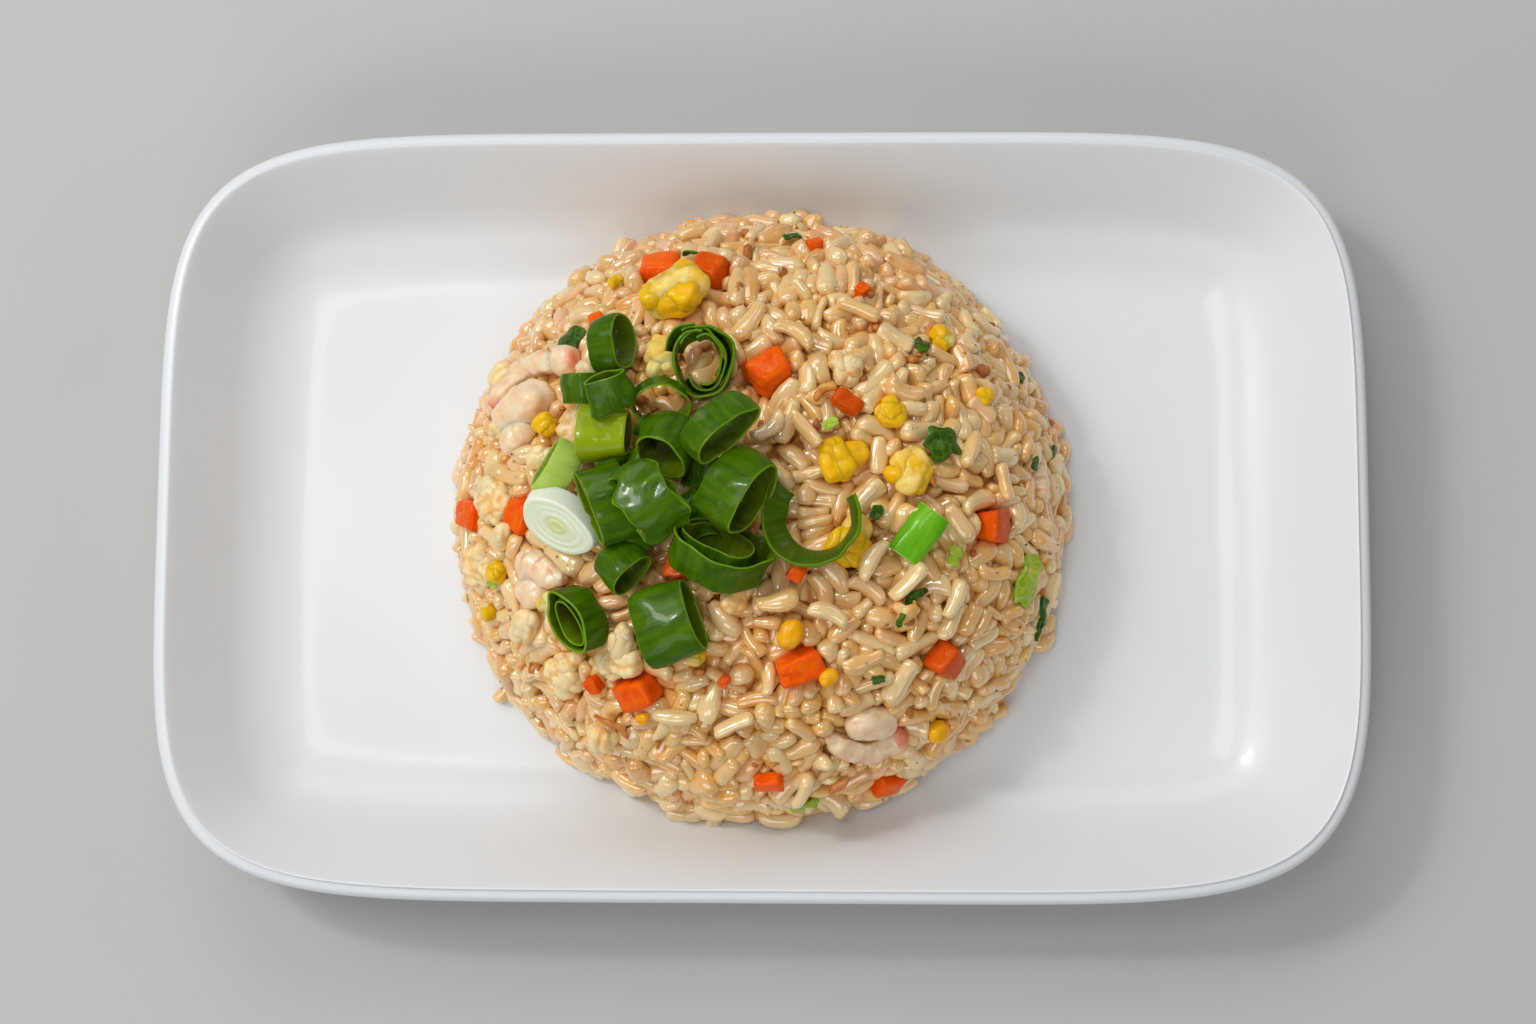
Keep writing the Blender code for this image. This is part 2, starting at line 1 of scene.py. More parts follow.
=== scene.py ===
"""Fried rice heaped on an oblong white plate, with scallion rings on the top.

Shapes are worked out in millimetres and go into their meshes in metres. +X runs
along the plate, +Y across it and +Z up, from the middle of the plate's foot.
"""

from math import cos, pi, radians, sin

import bpy
import numpy as np
from mathutils import Matrix, Vector
from mathutils.bvhtree import BVHTree


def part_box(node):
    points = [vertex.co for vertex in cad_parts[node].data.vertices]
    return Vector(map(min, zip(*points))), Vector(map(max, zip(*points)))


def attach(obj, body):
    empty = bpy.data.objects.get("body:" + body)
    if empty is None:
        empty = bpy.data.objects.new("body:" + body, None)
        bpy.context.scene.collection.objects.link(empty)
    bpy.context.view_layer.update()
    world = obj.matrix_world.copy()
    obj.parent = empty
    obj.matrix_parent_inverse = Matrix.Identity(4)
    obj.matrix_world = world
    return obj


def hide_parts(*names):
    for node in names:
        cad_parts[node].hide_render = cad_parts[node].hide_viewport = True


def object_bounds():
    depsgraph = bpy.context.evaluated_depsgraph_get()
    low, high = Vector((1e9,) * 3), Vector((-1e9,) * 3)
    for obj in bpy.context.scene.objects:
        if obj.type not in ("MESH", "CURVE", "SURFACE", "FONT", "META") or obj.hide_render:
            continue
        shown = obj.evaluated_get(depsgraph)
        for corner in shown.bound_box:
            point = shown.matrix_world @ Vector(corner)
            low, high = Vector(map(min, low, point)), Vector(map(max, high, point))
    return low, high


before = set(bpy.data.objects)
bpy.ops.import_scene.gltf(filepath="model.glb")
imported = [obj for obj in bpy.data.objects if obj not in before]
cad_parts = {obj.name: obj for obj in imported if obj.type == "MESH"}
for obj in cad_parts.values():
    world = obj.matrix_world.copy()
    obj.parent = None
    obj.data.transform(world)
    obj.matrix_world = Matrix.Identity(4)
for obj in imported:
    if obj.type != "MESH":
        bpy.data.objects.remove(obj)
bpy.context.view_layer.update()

MM = 0.001

# Plate, from its solid's box and the section it shares with it.
PLATE_HALF_LENGTH, PLATE_HALF_WIDTH, RIM_HEIGHT = (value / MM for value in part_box("plate")[1])
CORNER_POWER_X = 6.83
CORNER_POWER_Y = 4.69
FLOOR_TOP = 6.5
WALL = 4.5
WALL_SLOPE = radians(48.0)
FLOOR_FILLET = 24.0
FILLET_INSET = 31.8

# Heap of rice.
HEAP_RADIUS = 66.6
HEAP_HEIGHT = 50.0
HEAP_CENTRE = np.array([0.0, 0.8])
HEAP_POWER = 2.4
PILE_CENTRE = np.array([-14.0, -1.0])
PILE_SPREAD = 14.0
PILE_HOLLOW = 3.6
SHELL = 6.2
GRAINS = 2250
GRAIN_LENGTH = 8.1
GRAIN_HALF_WIDTH = 1.88
BEAD_SHARE = 0.74
PLUMPNESS = 1.05


# ---------------------------------------------------------------- looks

class Wire:
    """A socket of a material, with arithmetic that adds Math nodes."""

    def __init__(self, tree, socket):
        self.tree = tree
        self.socket = socket

    def _math(self, operation, first, second=None):
        """A Math node on one or two values."""
        node = self.tree.nodes.new("ShaderNodeMath")
        node.operation = operation
        for slot, value in enumerate((first, second)):
            if value is not None:
                feed(self.tree, node.inputs[slot], value)
        return Wire(self.tree, node.outputs[0])

    def __add__(self, other):
        return self._math("ADD", self, other)

    def __radd__(self, other):
        return self._math("ADD", other, self)

    def __sub__(self, other):
        return self._math("SUBTRACT", self, other)

    def __rsub__(self, other):
        return self._math("SUBTRACT", other, self)

    def __mul__(self, other):
        return self._math("MULTIPLY", self, other)

    def __rmul__(self, other):
        return self._math("MULTIPLY", other, self)


def feed(tree, socket, value):
    """Set a socket to a value, or link it to a wire."""
    if isinstance(value, Wire):
        tree.links.new(value.socket, socket)
    elif isinstance(value, (tuple, list)) and len(value) == 3 and socket.type == "RGBA":
        socket.default_value = (*value, 1.0)
    else:
        socket.default_value = value


class Look:
    """A Principled material. Keyword names are the shader's sockets, with _ for a space."""

    def __init__(self, name, **sockets):
        self.material = bpy.data.materials.new(name)
        self.material.use_nodes = True
        self.tree = self.material.node_tree
        self.shader = self.tree.nodes["Principled BSDF"]
        self.set(**sockets)

    def set(self, **sockets):
        """Set or link the shader's sockets."""
        for name, value in sockets.items():
            feed(self.tree, self.shader.inputs[name.replace("_", " ")], value)

    def node(self, kind, settings, inputs, output=0):
        """Add a node: its settings first, then the values or links of its inputs."""
        node = self.tree.nodes.new("ShaderNode" + kind)
        for name, value in settings.items():
            setattr(node, name, value)
        for name, value in inputs.items():
            feed(self.tree, node.inputs[name], value)
        return Wire(self.tree, node.outputs[output])

    def place(self):
        """Position on the object."""
        return self.node("TexCoord", {}, {}, "Object")

    def mark(self, name, output="Fac"):
        """A value stored on the mesh."""
        return self.node("Attribute", {"attribute_name": name}, {}, output)

    def noise(self, where, size, detail=3.0, rough=0.5):
        """Soft noise between 0 and 1 whose blots are about the given size in millimetres."""
        return self.node("TexNoise", {}, {
            "Vector": where, "Scale": 1.0 / (size * MM), "Detail": detail, "Roughness": rough})

    def stretched(self, where, amounts):
        """A vector scaled along each axis."""
        return self.node("VectorMath", {"operation": "MULTIPLY"}, {0: where, 1: amounts})

    def between(self, value, low, high):
        """A value brought to 0 at low and 1 at high, and clamped."""
        return self.node("MapRange", {}, {"Value": value, "From Min": low, "From Max": high})

    def mix(self, amount, first, second):
        """Two colours mixed."""
        return self.node("Mix", {"data_type": "RGBA"}, {0: amount, 6: first, 7: second}, 2)

    def wave(self, turn):
        """The sine of a value in radians."""
        return self.node("Math", {"operation": "SINE"}, {0: turn})

    def bump(self, height, millimetres, strength=1.0):
        """Relief from a height between 0 and 1."""
        self.set(Normal=self.node("Bump", {}, {
            "Height": height, "Distance": millimetres * MM, "Strength": strength}))


# ---------------------------------------------------------------- meshes

def lay(name, shape, look, replaces=()):
    """Put a shape, in millimetres, into one object that rides on the plate.

    A shape is its points, its faces of four and of three corners, and its marks, which
    are values on its points that the looks read by name.
    """
    points, quads, triangles, marks = shape
    name = name.replace(" ", "_")
    mesh = bpy.data.meshes.new(name)
    corners = np.concatenate([quads.ravel(), triangles.ravel()])
    mesh.vertices.add(len(points))
    mesh.vertices.foreach_set("co", (points * MM).astype(np.float32).ravel())
    mesh.loops.add(len(corners))
    mesh.loops.foreach_set("vertex_index", corners.astype(np.int32))
    mesh.polygons.add(len(quads) + len(triangles))
    starts = np.concatenate([
        np.arange(len(quads)) * 4, 4 * len(quads) + np.arange(len(triangles)) * 3])
    mesh.polygons.foreach_set("loop_start", starts.astype(np.int32))
    for label, values in marks.items():
        values = np.asarray(values, np.float32)
        if values.ndim == 1:
            mesh.attributes.new(label, "FLOAT", "POINT").data.foreach_set("value", values)
        else:
            colour = np.ones((len(values), 4), np.float32)
            colour[:, :3] = values
            stored = mesh.attributes.new(label, "FLOAT_COLOR", "POINT")
            stored.data.foreach_set("color", colour.ravel())
    mesh.update(calc_edges=True)
    mesh.validate()
    mesh.shade_smooth()
    mesh.materials.append(look.material)
    thing = bpy.data.objects.new(name, mesh)
    bpy.context.scene.collection.objects.link(thing)
    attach(thing, "root")
    if replaces:
        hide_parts(*replaces)


def circle(count):
    """Even angles once round."""
    return np.linspace(0.0, 2.0 * pi, count, endpoint=False)


def turned_out(points, quads, triangles):
    """Faces of a closed shape, turned so that they all point outward."""
    middle = points.mean(0)
    p = points - middle
    volume = 0.0
    for faces, (a, b, c) in ((quads, (0, 1, 2)), (quads, (0, 2, 3)), (triangles, (0, 1, 2))):
        volume += (p[faces[:, a]] * np.cross(p[faces[:, b]], p[faces[:, c]])).sum()
    if volume < 0:
        return quads[:, ::-1], triangles[:, ::-1]
    return quads, triangles


def sleeve(rows, sides, around=False):
    """Faces of rings of points one after another, each ring closed, or the rows closed too."""
    row = np.arange(rows if around else rows - 1)[:, None]
    side = np.arange(sides)[None, :]
    after = (row + 1) % rows
    beside = (side + 1) % sides
    quads = np.stack(np.broadcast_arrays(
        row * sides + side, row * sides + beside, after * sides + beside, after * sides + side), -1)
    return quads.reshape(-1, 4)


def caps(rows, sides):
    """Fans of triangles from two end points, which follow the rings' points."""
    side = np.arange(sides)
    beside = (side + 1) % sides
    first = rows * sides
    last = (rows - 1) * sides
    start = np.stack([beside, side, np.full(sides, first)], 1)
    end = np.stack([last + side, last + beside, np.full(sides, first + 1)], 1)
    return np.concatenate([start, end])


def capped(points, rows, sides, **marks):
    """The shape of rings of points that two end points close, its faces turned outward."""
    return (points, *turned_out(points, sleeve(rows, sides), caps(rows, sides)), marks)


def ripple(points, size, seed, octaves=3, billow=False):
    """Smooth unevenness near -1 to 1: sines along chance directions, finer and weaker each time.

    Billowed, each octave's sign is dropped, which leaves soft swellings between creases.
    """
    chance = np.random.default_rng(seed)
    total = np.zeros(points.shape[:-1])
    weight = 1.0
    scale = size
    for _ in range(octaves):
        layer = np.zeros(points.shape[:-1])
        for _ in range(5):
            way = chance.normal(size=3)
            way *= 2.0 * pi / (scale * np.linalg.norm(way))
            layer += np.sin(points @ way + chance.uniform(0.0, 2.0 * pi))
        layer /= 2.2
        total += weight * (2.0 * np.abs(layer) - 0.9 if billow else layer)
        weight *= 0.5
        scale *= 0.5
    return total


def frame_of(azimuth, elevation):
    """The across, upward and facing directions of a shape that faces a way round and a height."""
    a, e = radians(azimuth), radians(elevation)
    across = np.array([-sin(a), cos(a), 0.0])
    facing = np.array([cos(e) * cos(a), cos(e) * sin(a), sin(e)])
    return np.stack([across, np.cross(facing, across), facing])


def seated(shape, turn, node):
    """A shape turned by a frame, the middle of its box on the middle of its solid's."""
    points = shape[0] @ turn
    low, high = (np.array(corner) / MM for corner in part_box(node))
    return (points + (low + high) / 2.0 - (points.max(0) + points.min(0)) / 2.0, *shape[1:])


# ---------------------------------------------------------------- heap

def pile_hollow(x, y):
    """How far the scallions press the top of the heap down."""
    away = (x - PILE_CENTRE[0]) ** 2 + (y - PILE_CENTRE[1]) ** 2
    return PILE_HOLLOW * np.exp(-away / (2.0 * PILE_SPREAD ** 2))


def heap_gap(points):
    """Distance outside the heap's smooth surface, and the outward direction there.

    The heap is (r / R) ** 2.4 + (z / H) ** 2 = 1 with the hollow taken off its
    height, and the distance is that expression over the length of its slope.
    """
    flat = points[..., :2] - HEAP_CENTRE
    radius = np.linalg.norm(flat, axis=-1)
    height = points[..., 2] - FLOOR_TOP + pile_hollow(points[..., 0], points[..., 1])
    height = np.maximum(height, 0.0)
    value = (radius / HEAP_RADIUS) ** HEAP_POWER + (height / HEAP_HEIGHT) ** 2 - 1.0
    outward = HEAP_POWER * radius ** (HEAP_POWER - 1.0) / HEAP_RADIUS ** HEAP_POWER
    upward = 2.0 * height / HEAP_HEIGHT ** 2
    slope = np.sqrt(outward ** 2 + upward ** 2) + 1e-9
    way = np.concatenate([
        flat / (radius[..., None] + 1e-9) * outward[..., None], upward[..., None]], -1)
    return value / slope, way / slope[..., None]


def heap_height(x, y):
    """Height of the smooth heap above a point of the table."""
    part = np.hypot(x - HEAP_CENTRE[0], y - HEAP_CENTRE[1]) / HEAP_RADIUS
    full = HEAP_HEIGHT * np.sqrt(np.clip(1.0 - part ** HEAP_POWER, 0.0, 1.0))
    return FLOOR_TOP + full - pile_hollow(x, y)


def heap_frame(x, y, yaw, pitch, roll):
    """Side, ahead and up directions of a topping bedded at a point, square to the heap."""
    slope = np.array([heap_height(x - 0.5, y) - heap_height(x + 0.5, y),
                      heap_height(x, y - 0.5) - heap_height(x, y + 0.5), 1.0])
    up = slope / np.linalg.norm(slope)
    side = np.cross([0.0, 1.0, 0.0], up)
    side /= np.linalg.norm(side)
    base = np.stack([side, np.cross(up, side), up])
    turn = np.array(Matrix.Rotation(radians(yaw), 3, "Z")
                    @ Matrix.Rotation(radians(pitch), 3, "Y")
                    @ Matrix.Rotation(radians(roll), 3, "X"))
    return turn.T @ base


def above_heap(x, y, lift):
    """A point at a height square above the heap's surface."""
    return np.array([x, y, heap_height(x, y)]) + heap_frame(x, y, 0, 0, 0)[2] * lift


def plate_height(y):
    """Height of the plate's inner face beside the heap: flat floor, then the fillet."""
    inset = np.clip(PLATE_HALF_WIDTH - 0.2 - np.abs(y), 14.0, FILLET_INSET)
    angle = np.arcsin((FILLET_INSET - inset) / FLOOR_FILLET)
    return FLOOR_TOP + FLOOR_FILLET * (1.0 - np.cos(angle))


def heap_points(angle, share, depth=0.0):
    """Points on the heap at a compass angle and a share of its height, sunk by a depth."""
    radius = HEAP_RADIUS * (1.0 - share ** 2) ** (1.0 / HEAP_POWER)
    x = HEAP_CENTRE[0] + radius * np.cos(angle)
    y = HEAP_CENTRE[1] + radius * np.sin(angle)
    z = FLOOR_TOP + HEAP_HEIGHT * share - pile_hollow(x, y)
    points = np.stack([x, y, z], -1)
    return points - heap_gap(points)[1] * np.asarray(depth)[..., None]


# ---------------------------------------------------------------- scallion and stalk

def oval(half_a, half_b, count=96, dent=0.0, dent_at=0.0, pinch=1.0, seed=0):
    """A closed path: an ellipse, folded in on one side by a dent, with slightly uneven radius.

    A pinch over 1 sharpens its two far ends, as a flattened stalk's are.
    """
    t = circle(count)
    size = 1.0 - dent * np.maximum(0.0, np.cos(t - radians(dent_at))) ** 3
    chance = np.random.default_rng(seed)
    for waves in (2, 3, 4, 5):
        swell = 0.035 / waves ** 0.5 * chance.normal()
        size = size * (1.0 + swell * np.sin(waves * t + chance.uniform(0, 6.28)))
    low = np.sign(np.sin(t)) * np.abs(np.sin(t)) ** pinch
    return np.stack([half_a * np.cos(t) * size, half_b * low * size], 1)


def curl(half_a, half_b, start, sweep, shrink=0.0, count=110, seed=0):
    """An open path round part of an oval, drawing inward as it goes, slightly uneven."""
    part = np.linspace(0.0, 1.0, count)
    angle = np.radians(start + sweep * part)
    size = 1.0 - shrink * part
    chance = np.random.default_rng(seed)
    for waves in (3, 5):
        swell = 0.02 * chance.normal()
        size = size * (1.0 + swell * np.sin(waves * angle + chance.uniform(0, 6.28)))
    return np.stack([half_a * np.cos(angle) * size, half_b * np.sin(angle) * size], 1)


SKIN_UP = np.array([-0.985, -0.90, -0.6, -0.3, 0.0, 0.3, 0.6, 0.90, 0.985])
WALL_UP = np.concatenate([SKIN_UP, [1.0], SKIN_UP[::-1], [-1.0]])
WALL_OUT = np.concatenate([[0.8], np.ones(7), [0.8, 0.0, -0.8], -np.ones(7), [-0.8, 0.0]])


def stalk_wall(path, length, wall=0.8, closed=True, lean=(0.0, 0.0), slant=0.0, bulge=0.0,
               wave=0.04, ragged=0.0, seed=1):
    """A thin wall standing on a path, with rounded cut edges.

    A point is path + out * (wall side) + rise * (height), where out and rise lean by an
    angle that runs along the path. The bulge pushes the wall's middle out, the wave
    bends it slowly in and out, and ragged makes the cut edges uneven.
    """
    rows = len(path)
    if closed:
        along = np.roll(path, -1, 0) - np.roll(path, 1, 0)
    else:
        along = np.gradient(path, axis=0)
    along = along / np.linalg.norm(along, axis=1)[:, None]
    out = np.stack([along[:, 1], -along[:, 0]], 1)
    if (out * path).sum() < 0:
        out = -out
    lean_angle = np.radians(np.linspace(lean[0], lean[1], rows))
    out3 = np.concatenate([out * np.cos(lean_angle)[:, None], -np.sin(lean_angle)[:, None]], 1)
    rise3 = np.concatenate([out * np.sin(lean_angle)[:, None], np.cos(lean_angle)[:, None]], 1)
    base = np.concatenate([path, (slant * path[:, 0])[:, None]], 1)
    up = np.broadcast_to(WALL_UP, (rows, len(WALL_UP)))
    edge = ripple(np.stack([base - (0.0, 0.0, 40.0), base + (0.0, 0.0, 40.0)], 1), 5.0, seed, 1)
    top = np.where(up > 0, edge[:, 1:], edge[:, :1])
    lift = up * length / 2 * (1.0 + ragged * top * np.abs(up) ** 4)
    shape = base[:, None] + rise3[:, None] * lift[..., None]
    sway = wave * length * ripple(shape, 9.0, seed + 5, 2) + bulge * (1.0 - up ** 2)
    across = WALL_OUT * wall / 2 + sway
    shape = shape + out3[:, None] * across[..., None]
    quads = sleeve(rows, len(WALL_UP), closed)
    points = shape.reshape(-1, 3)
    triangles = np.zeros((0, 3), int)
    if not closed:
        triangles = caps(rows, len(WALL_UP))
        ends = np.stack([shape[0].mean(0), shape[-1].mean(0)])
        points = np.concatenate([points, ends])
    turn = np.linspace(0.0, 2.0 * pi, rows, endpoint=not closed)
    reach = np.linalg.norm(np.diff(path, axis=0), axis=1).sum() / (2.0 * pi)
    lie = np.stack(np.broadcast_arrays(
        (reach * np.cos(turn))[:, None], (reach * np.sin(turn))[:, None], lift), -1).reshape(-1, 3)
    inside = np.broadcast_to((1.0 - WALL_OUT) / 2.0, up.shape).ravel()
    cut = np.broadcast_to((np.abs(WALL_UP) > 0.95) * 1.0, up.shape).ravel()
    if not closed:
        lie = np.concatenate([lie, lie[:1], lie[-1:]])
        inside = np.concatenate([inside, [0.5, 0.5]])
        cut = np.concatenate([cut, [1.0, 1.0]])
    quads, triangles = turned_out(points, quads, triangles)
    return points, quads, triangles, {"lie": lie, "inside": inside, "cut": cut}


def joined(shapes):
    """Several shapes as one: their points, faces and marks one after another."""
    starts = np.cumsum([0] + [len(shape[0]) for shape in shapes])
    points, quads, triangles = (
        np.concatenate([shape[k] + (start if k else 0) for shape, start in zip(shapes, starts)])
        for k in range(3))
    marks = {label: np.concatenate([shape[3][label] for shape in shapes])
             for label in shapes[0][3]}
    return points, quads, triangles, marks


def tube(half_a, half_b, length, wall=0.5, seed=1, aside=(0.0, 0.0), count=96, dent=0.0,
         dent_at=0.0, pinch=1.0, **ways):
    """A whole ring or tube of scallion: a wall standing on an oval."""
    path = oval(half_a, half_b, count, dent, dent_at, pinch, seed) + np.array(aside)
    return stalk_wall(path, length, wall, seed=seed, **ways)


def strip(half_a, half_b, start, sweep, length, wall, lean, seed, shrink, count, wave):
    """A split ring of scallion: a wall standing on a curl."""
    path = curl(half_a, half_b, start, sweep, shrink, count, seed)
    return stalk_wall(path, length, wall, False, lean, seed=seed, wave=wave)


def scallion_look(name, deep, bright, inner, edge, gloss=0.3):
    """Wet scallion skin: fine lines along a blotched green, a paler inside and cut edge."""
    look = Look(name, Coat_Weight=0.25, Coat_Roughness=0.09, Subsurface_Weight=0.08,
                Subsurface_Scale=0.0012, Specular_IOR_Level=0.06,
                Subsurface_Radius=(0.4, 1.0, 0.15))
    lie = look.mark("lie", "Vector")
    lines = look.noise(look.stretched(lie, (MM, MM, 0.05 * MM)), 0.7, 3.0, 0.6)
    blotch = look.noise(look.place(), 3.2, 2.0)
    slow = look.noise(look.stretched(lie, (MM, MM, 0.25 * MM)), 2.2, 2.0)
    tone = look.between(blotch * 0.35 + slow * 0.6 + lines * 0.45, 0.40, 1.0)
    skin = look.mix(tone, deep, bright)
    shaded = [channel * 0.55 for channel in inner]
    inside = look.mix(look.between(slow * 0.6 + lines * 0.5, 0.35, 0.8), shaded, inner)
    body = look.mix(look.between(look.mark("inside"), 0.45, 0.55), skin, inside)
    colour = look.mix(look.between(look.mark("cut"), 0.5, 1.0) * 0.8, body, edge)
    look.set(Base_Color=colour, Roughness=gloss + 0.16 * lines - 0.06 * blotch)
    look.bump(lines * 0.9 + slow * 1.1, 0.10, 0.5)
    return look


# ---------------------------------------------------------------- soft toppings

def ball(rows, sides):
    """Directions on a ball: rings from pole to pole, then the two poles."""
    polar = np.linspace(0.0, pi, rows + 2)[1:-1][:, None]
    angle = circle(sides)[None, :]
    ring = np.stack(np.broadcast_arrays(
        np.sin(polar) * np.cos(angle), np.sin(polar) * np.sin(angle), np.cos(polar)), -1)
    return np.concatenate([ring.reshape(-1, 3), [[0.0, 0.0, 1.0], [0.0, 0.0, -1.0]]])


def squared(way, power):
    """Directions brought onto the rounded cube where |x|, |y| and |z| to a power add up to 1."""
    return way / (np.abs(way) ** power).sum(1)[:, None] ** (1.0 / power)


def curd(size, seed, rough=0.1, square=2.6, rows=34, sides=44, blob=5.5, octaves=3):
    """A soft lump: a rounded cube pushed out in billows, with creases between them."""
    way = ball(rows, sides)
    points = squared(way, square) * np.array(size) / 2.0
    swell = ripple(points + 20.0 * seed, blob, seed, octaves, True)
    slow = ripple(points, 9.0, seed + 3, 2)
    points = points * (1.0 + 0.8 * rough * slow[:, None])
    points = points + way * (swell * rough * min(size) * 0.5)[:, None]
    return capped(points, rows, sides, relief=swell)


def cluster(size, seed, count=5, rough=0.07, spread=0.6):
    """Soft lumps run together: rounded lumps of many sizes set about a flat oval."""
    chance = np.random.default_rng(seed)
    shapes = []
    for number in range(count):
        angle = 2.0 * pi * number / max(count - 1, 1) + chance.uniform(-0.5, 0.5)
        part = np.array(size) * chance.uniform(0.50, 0.74) * chance.uniform(0.80, 1.2, 3)
        part[2] = size[2] * chance.uniform(0.6, 0.9)
        place = np.array([cos(angle), sin(angle), 0.0])
        place = place * (np.array(size) - part) / 2.0 * spread * 1.5
        if number == 0:
            place *= 0.0
            part *= 1.25
        place[2] = chance.uniform(-0.08, 0.16) * size[2]
        points, quads, triangles, marks = curd(part, seed * 11 + number, rough, 2.9, 24, 32, 6.0, 2)
        turn = np.array(Matrix.Rotation(chance.uniform(0, 6.28), 3, "Z")
                        @ Matrix.Rotation(chance.uniform(-0.5, 0.5), 3, "X"))
        marks["patch"] = np.full(len(points), chance.uniform(0.0, 1.0))
        shapes.append((points @ turn + place, quads, triangles, marks))
    return joined(shapes)


def die(size, seed, power=7.0):
    """A cut cube with rounded edges, its faces leaning a little out of square."""
    chance = np.random.default_rng(seed)
    rows, sides = 30, 40
    way = ball(rows, sides)
    points = squared(way, power)
    lean = chance.normal(size=(3, 3)) * 0.07
    points = points * (1.0 + points[:, [1, 2, 0]] * lean[0] + points[:, [2, 0, 1]] * lean[1])
    points = points * np.array(size) / 2.0
    points = points + way * (0.10 * ripple(points, 3.0, seed, 3))[:, None]
    return capped(points, rows, sides)


def lobe(size, place, yaw, seed, along=0.3, slope=0.0):
    """A smooth lobe of shrimp, set beside a tail; slope lets its colour run along it."""
    points, quads, triangles, _ = curd(size, seed, 0.05, 2.2, 26, 36, 7.0, 2)
    run = along + slope * points[:, 0] / size[0]
    points = points @ np.array(Matrix.Rotation(radians(yaw), 3, "Z")).T + np.array(place)
    return points, quads, triangles, {"along": run, "back": np.full(len(points), -0.5)}


def prawn(length, thick, bend, lobes, seed, taper=0.3, rows=54, sides=30, tip=1):
    """A curled tail: a bar bent round an arc, swelling into segments and drawn in at its ends.

    Its half width is thick / 2 * (1 - (2 t - 1) ** 4) ** 0.5 with grooves between the
    segments and a crease along the inner side of the curl.
    """
    t = np.linspace(0.0, 1.0, rows + 2)[1:-1][:, None]
    side = circle(sides)[None, :]
    angle = radians(bend) * (t - 0.5)
    reach = length / radians(bend)
    end = np.maximum(1.0 - (2.0 * t - 1.0) ** 4, 0.0) ** 0.5
    groove = 1.0 - 0.07 * np.abs(np.cos(pi * lobes * t)) ** 12 * np.cos(side / 2.0) ** 2
    crease = 1.0 - 0.16 * np.exp(-((side - pi) / 0.32) ** 2)
    size = thick / 2 * end * groove * crease * (1.0 - taper * t)
    size = size * (1.0 + 0.05 * np.sin(2 * side + 3 * t))
    outward = reach + size * np.cos(side)
    x = outward * np.sin(angle)
    y = outward * np.cos(angle) - reach
    z = 0.86 * size * np.sin(side)
    points = np.stack([x, y, z], -1).reshape(-1, 3)
    tips = np.array([[reach * sin(a), reach * cos(a) - reach, 0.0]
                     for a in (-radians(bend) / 2, radians(bend) / 2)])
    points = np.concatenate([points, tips])
    points = points + 0.25 * np.stack([ripple(points, 5.0, seed + k, 3) for k in range(3)], 1)
    along = np.concatenate([np.repeat(t.ravel(), sides), [0.0, 1.0]])
    along = along if tip > 0 else 1.0 - along
    back = np.concatenate([np.tile(np.cos(side.ravel()), rows), [0.0, 0.0]])
    return capped(points, rows, sides, along=along, back=back)


def slice_of(half_a, half_b, thick, rings=26, sides=80, draw=0.9):
    """A solid slice: flat faces with faint steps where its layers end, and a rounded rim.

    Rings run in from the rim on both faces, and the upper face is a little smaller.
    """
    share = np.concatenate([np.linspace(0.04, 0.96, rings), [0.99, 1.0, 1.0, 1.0, 0.99],
                            np.linspace(0.96, 0.04, rings)])
    height = np.concatenate([np.full(rings, 0.5), [0.485, 0.42, 0.0, -0.42, -0.485],
                             np.full(rings, -0.5)])
    size = share * (1.0 - (1.0 - draw) * (height + 0.5))
    angle = circle(sides)
    uneven = 1.0 + 0.02 * np.sin(3 * angle + 1.0) + 0.015 * np.sin(5 * angle)
    ring = np.stack([half_a * np.cos(angle) * uneven, half_b * np.sin(angle) * uneven], 1)
    step = 0.06 * np.sin(share * 26.0) * (share < 0.9)
    step = step + 0.12 * np.exp(-((share - 0.72) / 0.02) ** 2)
    z = thick * height - step * np.sign(height)
    points = np.concatenate([size[:, None, None] * ring[None], np.broadcast_to(
        z[:, None, None], (len(size), sides, 1))], 2).reshape(-1, 3)
    points = np.concatenate([points, [[0.0, 0.0, thick / 2], [0.0, 0.0, -thick / 2]]])
    ringed = np.concatenate([np.repeat(share, sides), [0.0, 0.0]])
    return capped(points, len(size), sides, ringed=ringed, lie=points * np.array([1.0, 1.0, 0.3]))


def leaf_scrap(half_a, half_b, thick, seed, cup=0.12, rows=18, sides=48):
    """A scrap of leaf: a thin squared slice, cupped and wavy, with uneven edges."""
    share = np.concatenate([np.linspace(0.08, 1.0, rows), np.linspace(1.0, 0.08, rows)])
    over = np.concatenate([np.full(rows, 0.5), np.full(rows, -0.5)])
    over = over * np.clip((1.0 - share) * 14.0, 0.0, 1.0)
    angle = circle(sides)
    square = 1.0 / (np.abs(np.cos(angle)) ** 4 + np.abs(np.sin(angle)) ** 4) ** 0.25
    chance = np.random.default_rng(seed)
    for waves in (3, 5, 7):
        swell = 0.05 * chance.normal()
        square = square * (1.0 + swell * np.sin(waves * angle + chance.uniform(0, 6.28)))
    ring = np.stack([half_a * np.cos(angle) * square, half_b * np.sin(angle) * square], 1)
    flat = share[:, None, None] * ring[None]
    far = (flat ** 2).sum(-1)
    level = np.concatenate([flat, flat[..., :1] * 0], -1)
    z = -cup * far / 4.0 + 0.35 * ripple(level, 5.0, seed, 2) + thick * over[:, None]
    points = np.concatenate([flat, z[..., None]], -1).reshape(-1, 3)
    ends = np.array([[0, 0, z[0].mean()], [0, 0, z[-1].mean()]])
    return capped(np.concatenate([points, ends]), len(share), sides)


# ---------------------------------------------------------------- scallions

EVERY_TOPPING = []


